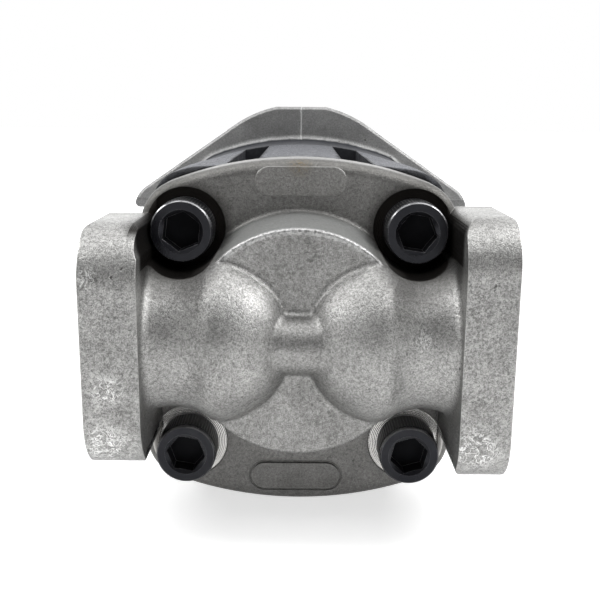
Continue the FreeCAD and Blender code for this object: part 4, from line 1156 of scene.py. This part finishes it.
def build_floor():
    # Pale paper. Its glow is seen only by the camera and in reflections, and the lamps cast the shadow.
    bpy.ops.mesh.primitive_plane_add(size=FLOOR_SIZE, location=(0, 0, cad_low.z - FLOOR_GAP))
    floor = bpy.context.object
    floor.name = "floor"
    material, tree, shader = new_material("floor_paper")
    set_input(tree, shader.inputs["Base Color"], FLOOR_COLOUR)
    shader.inputs["Roughness"].default_value = FLOOR_ROUGHNESS
    shader.inputs["Specular IOR Level"].default_value = FLOOR_SPECULAR
    shader.inputs["Emission Color"].default_value = WHITE
    away = tree.nodes.new("ShaderNodeVectorMath")
    away.operation = "LENGTH"
    tree.links.new(place(tree), away.inputs[0])
    glow = ramp(tree, away.outputs["Value"], *FLOOR_GLOW_REACH, *FLOOR_GLOW)
    camera, mirrored = light_path(tree)
    seen = larger(tree, camera, times(tree, mirrored, FLOOR_MIRRORED))
    tree.links.new(times(tree, seen, glow), shader.inputs["Emission Strength"])
    floor.data.materials.append(material)


def area_light(name, location, size, watts):
    data = bpy.data.lights.new(name, "AREA")
    data.shape = "RECTANGLE"
    data.size, data.size_y = size
    data.energy = watts
    lamp = bpy.data.objects.new(name, data)
    lamp.location = location
    lamp.rotation_mode = "QUATERNION"
    lamp.rotation_quaternion = (Vector(LIGHT_FOCUS) - Vector(location)).to_track_quat("-Z", "Y")
    bpy.context.collection.objects.link(lamp)


def build_lights():
    area_light("top_softbox", location=(0.0, -0.25, 1.05), size=(1.3, 1.1), watts=7.0)
    area_light("back_softbox", location=(0.0, 1.70, 0.65), size=(2.6, 1.5), watts=10.0)
    area_light("left_softbox", location=(-0.90, -0.25, 0.75), size=(0.45, 0.45), watts=5.0)
    area_light("right_softbox", location=(0.90, -0.25, 0.75), size=(0.45, 0.45), watts=7.0)


def build_camera():
    pitch, yaw, roll = (math.radians(a) for a in (CAMERA_PITCH, CAMERA_YAW, CAMERA_ROLL))
    forward = Vector((
        math.sin(yaw) * math.cos(pitch),
        math.cos(yaw) * math.cos(pitch),
        -math.sin(pitch),
    ))
    right = Vector((math.cos(yaw), -math.sin(yaw), 0.0))
    up = right.cross(forward)
    turned_right = right * math.cos(roll) + up * math.sin(roll)
    turned_up = up * math.cos(roll) - right * math.sin(roll)
    data = bpy.data.cameras.new("photo_camera")
    data.lens = CAMERA_LENS
    data.sensor_width = SENSOR_WIDTH
    data.clip_start = CLIP_START
    data.clip_end = CLIP_END
    camera = bpy.data.objects.new("photo_camera", data)
    basis = Matrix((turned_right, turned_up, -forward)).transposed().to_4x4()
    camera.matrix_world = Matrix.Translation(Vector(CAMERA_PLACE)) @ basis
    bpy.context.collection.objects.link(camera)
    bpy.context.scene.camera = camera


finishes = make_finishes()
dress_nodes(finishes)
knurl = black_knurl("black_knurl")
for number, (x, z) in enumerate(BOLTS):
    knurled_sleeve("screw_knurl_%d" % (number + 1), x, z, knurl)
housing_shoulder("housing_shoulder_left", -1, finishes["painted_casting"])
housing_shoulder("housing_shoulder_right", 1, finishes["painted_casting"])
build_world()
build_floor()
build_lights()
build_camera()
bpy.context.scene.view_settings.view_transform = "Standard"
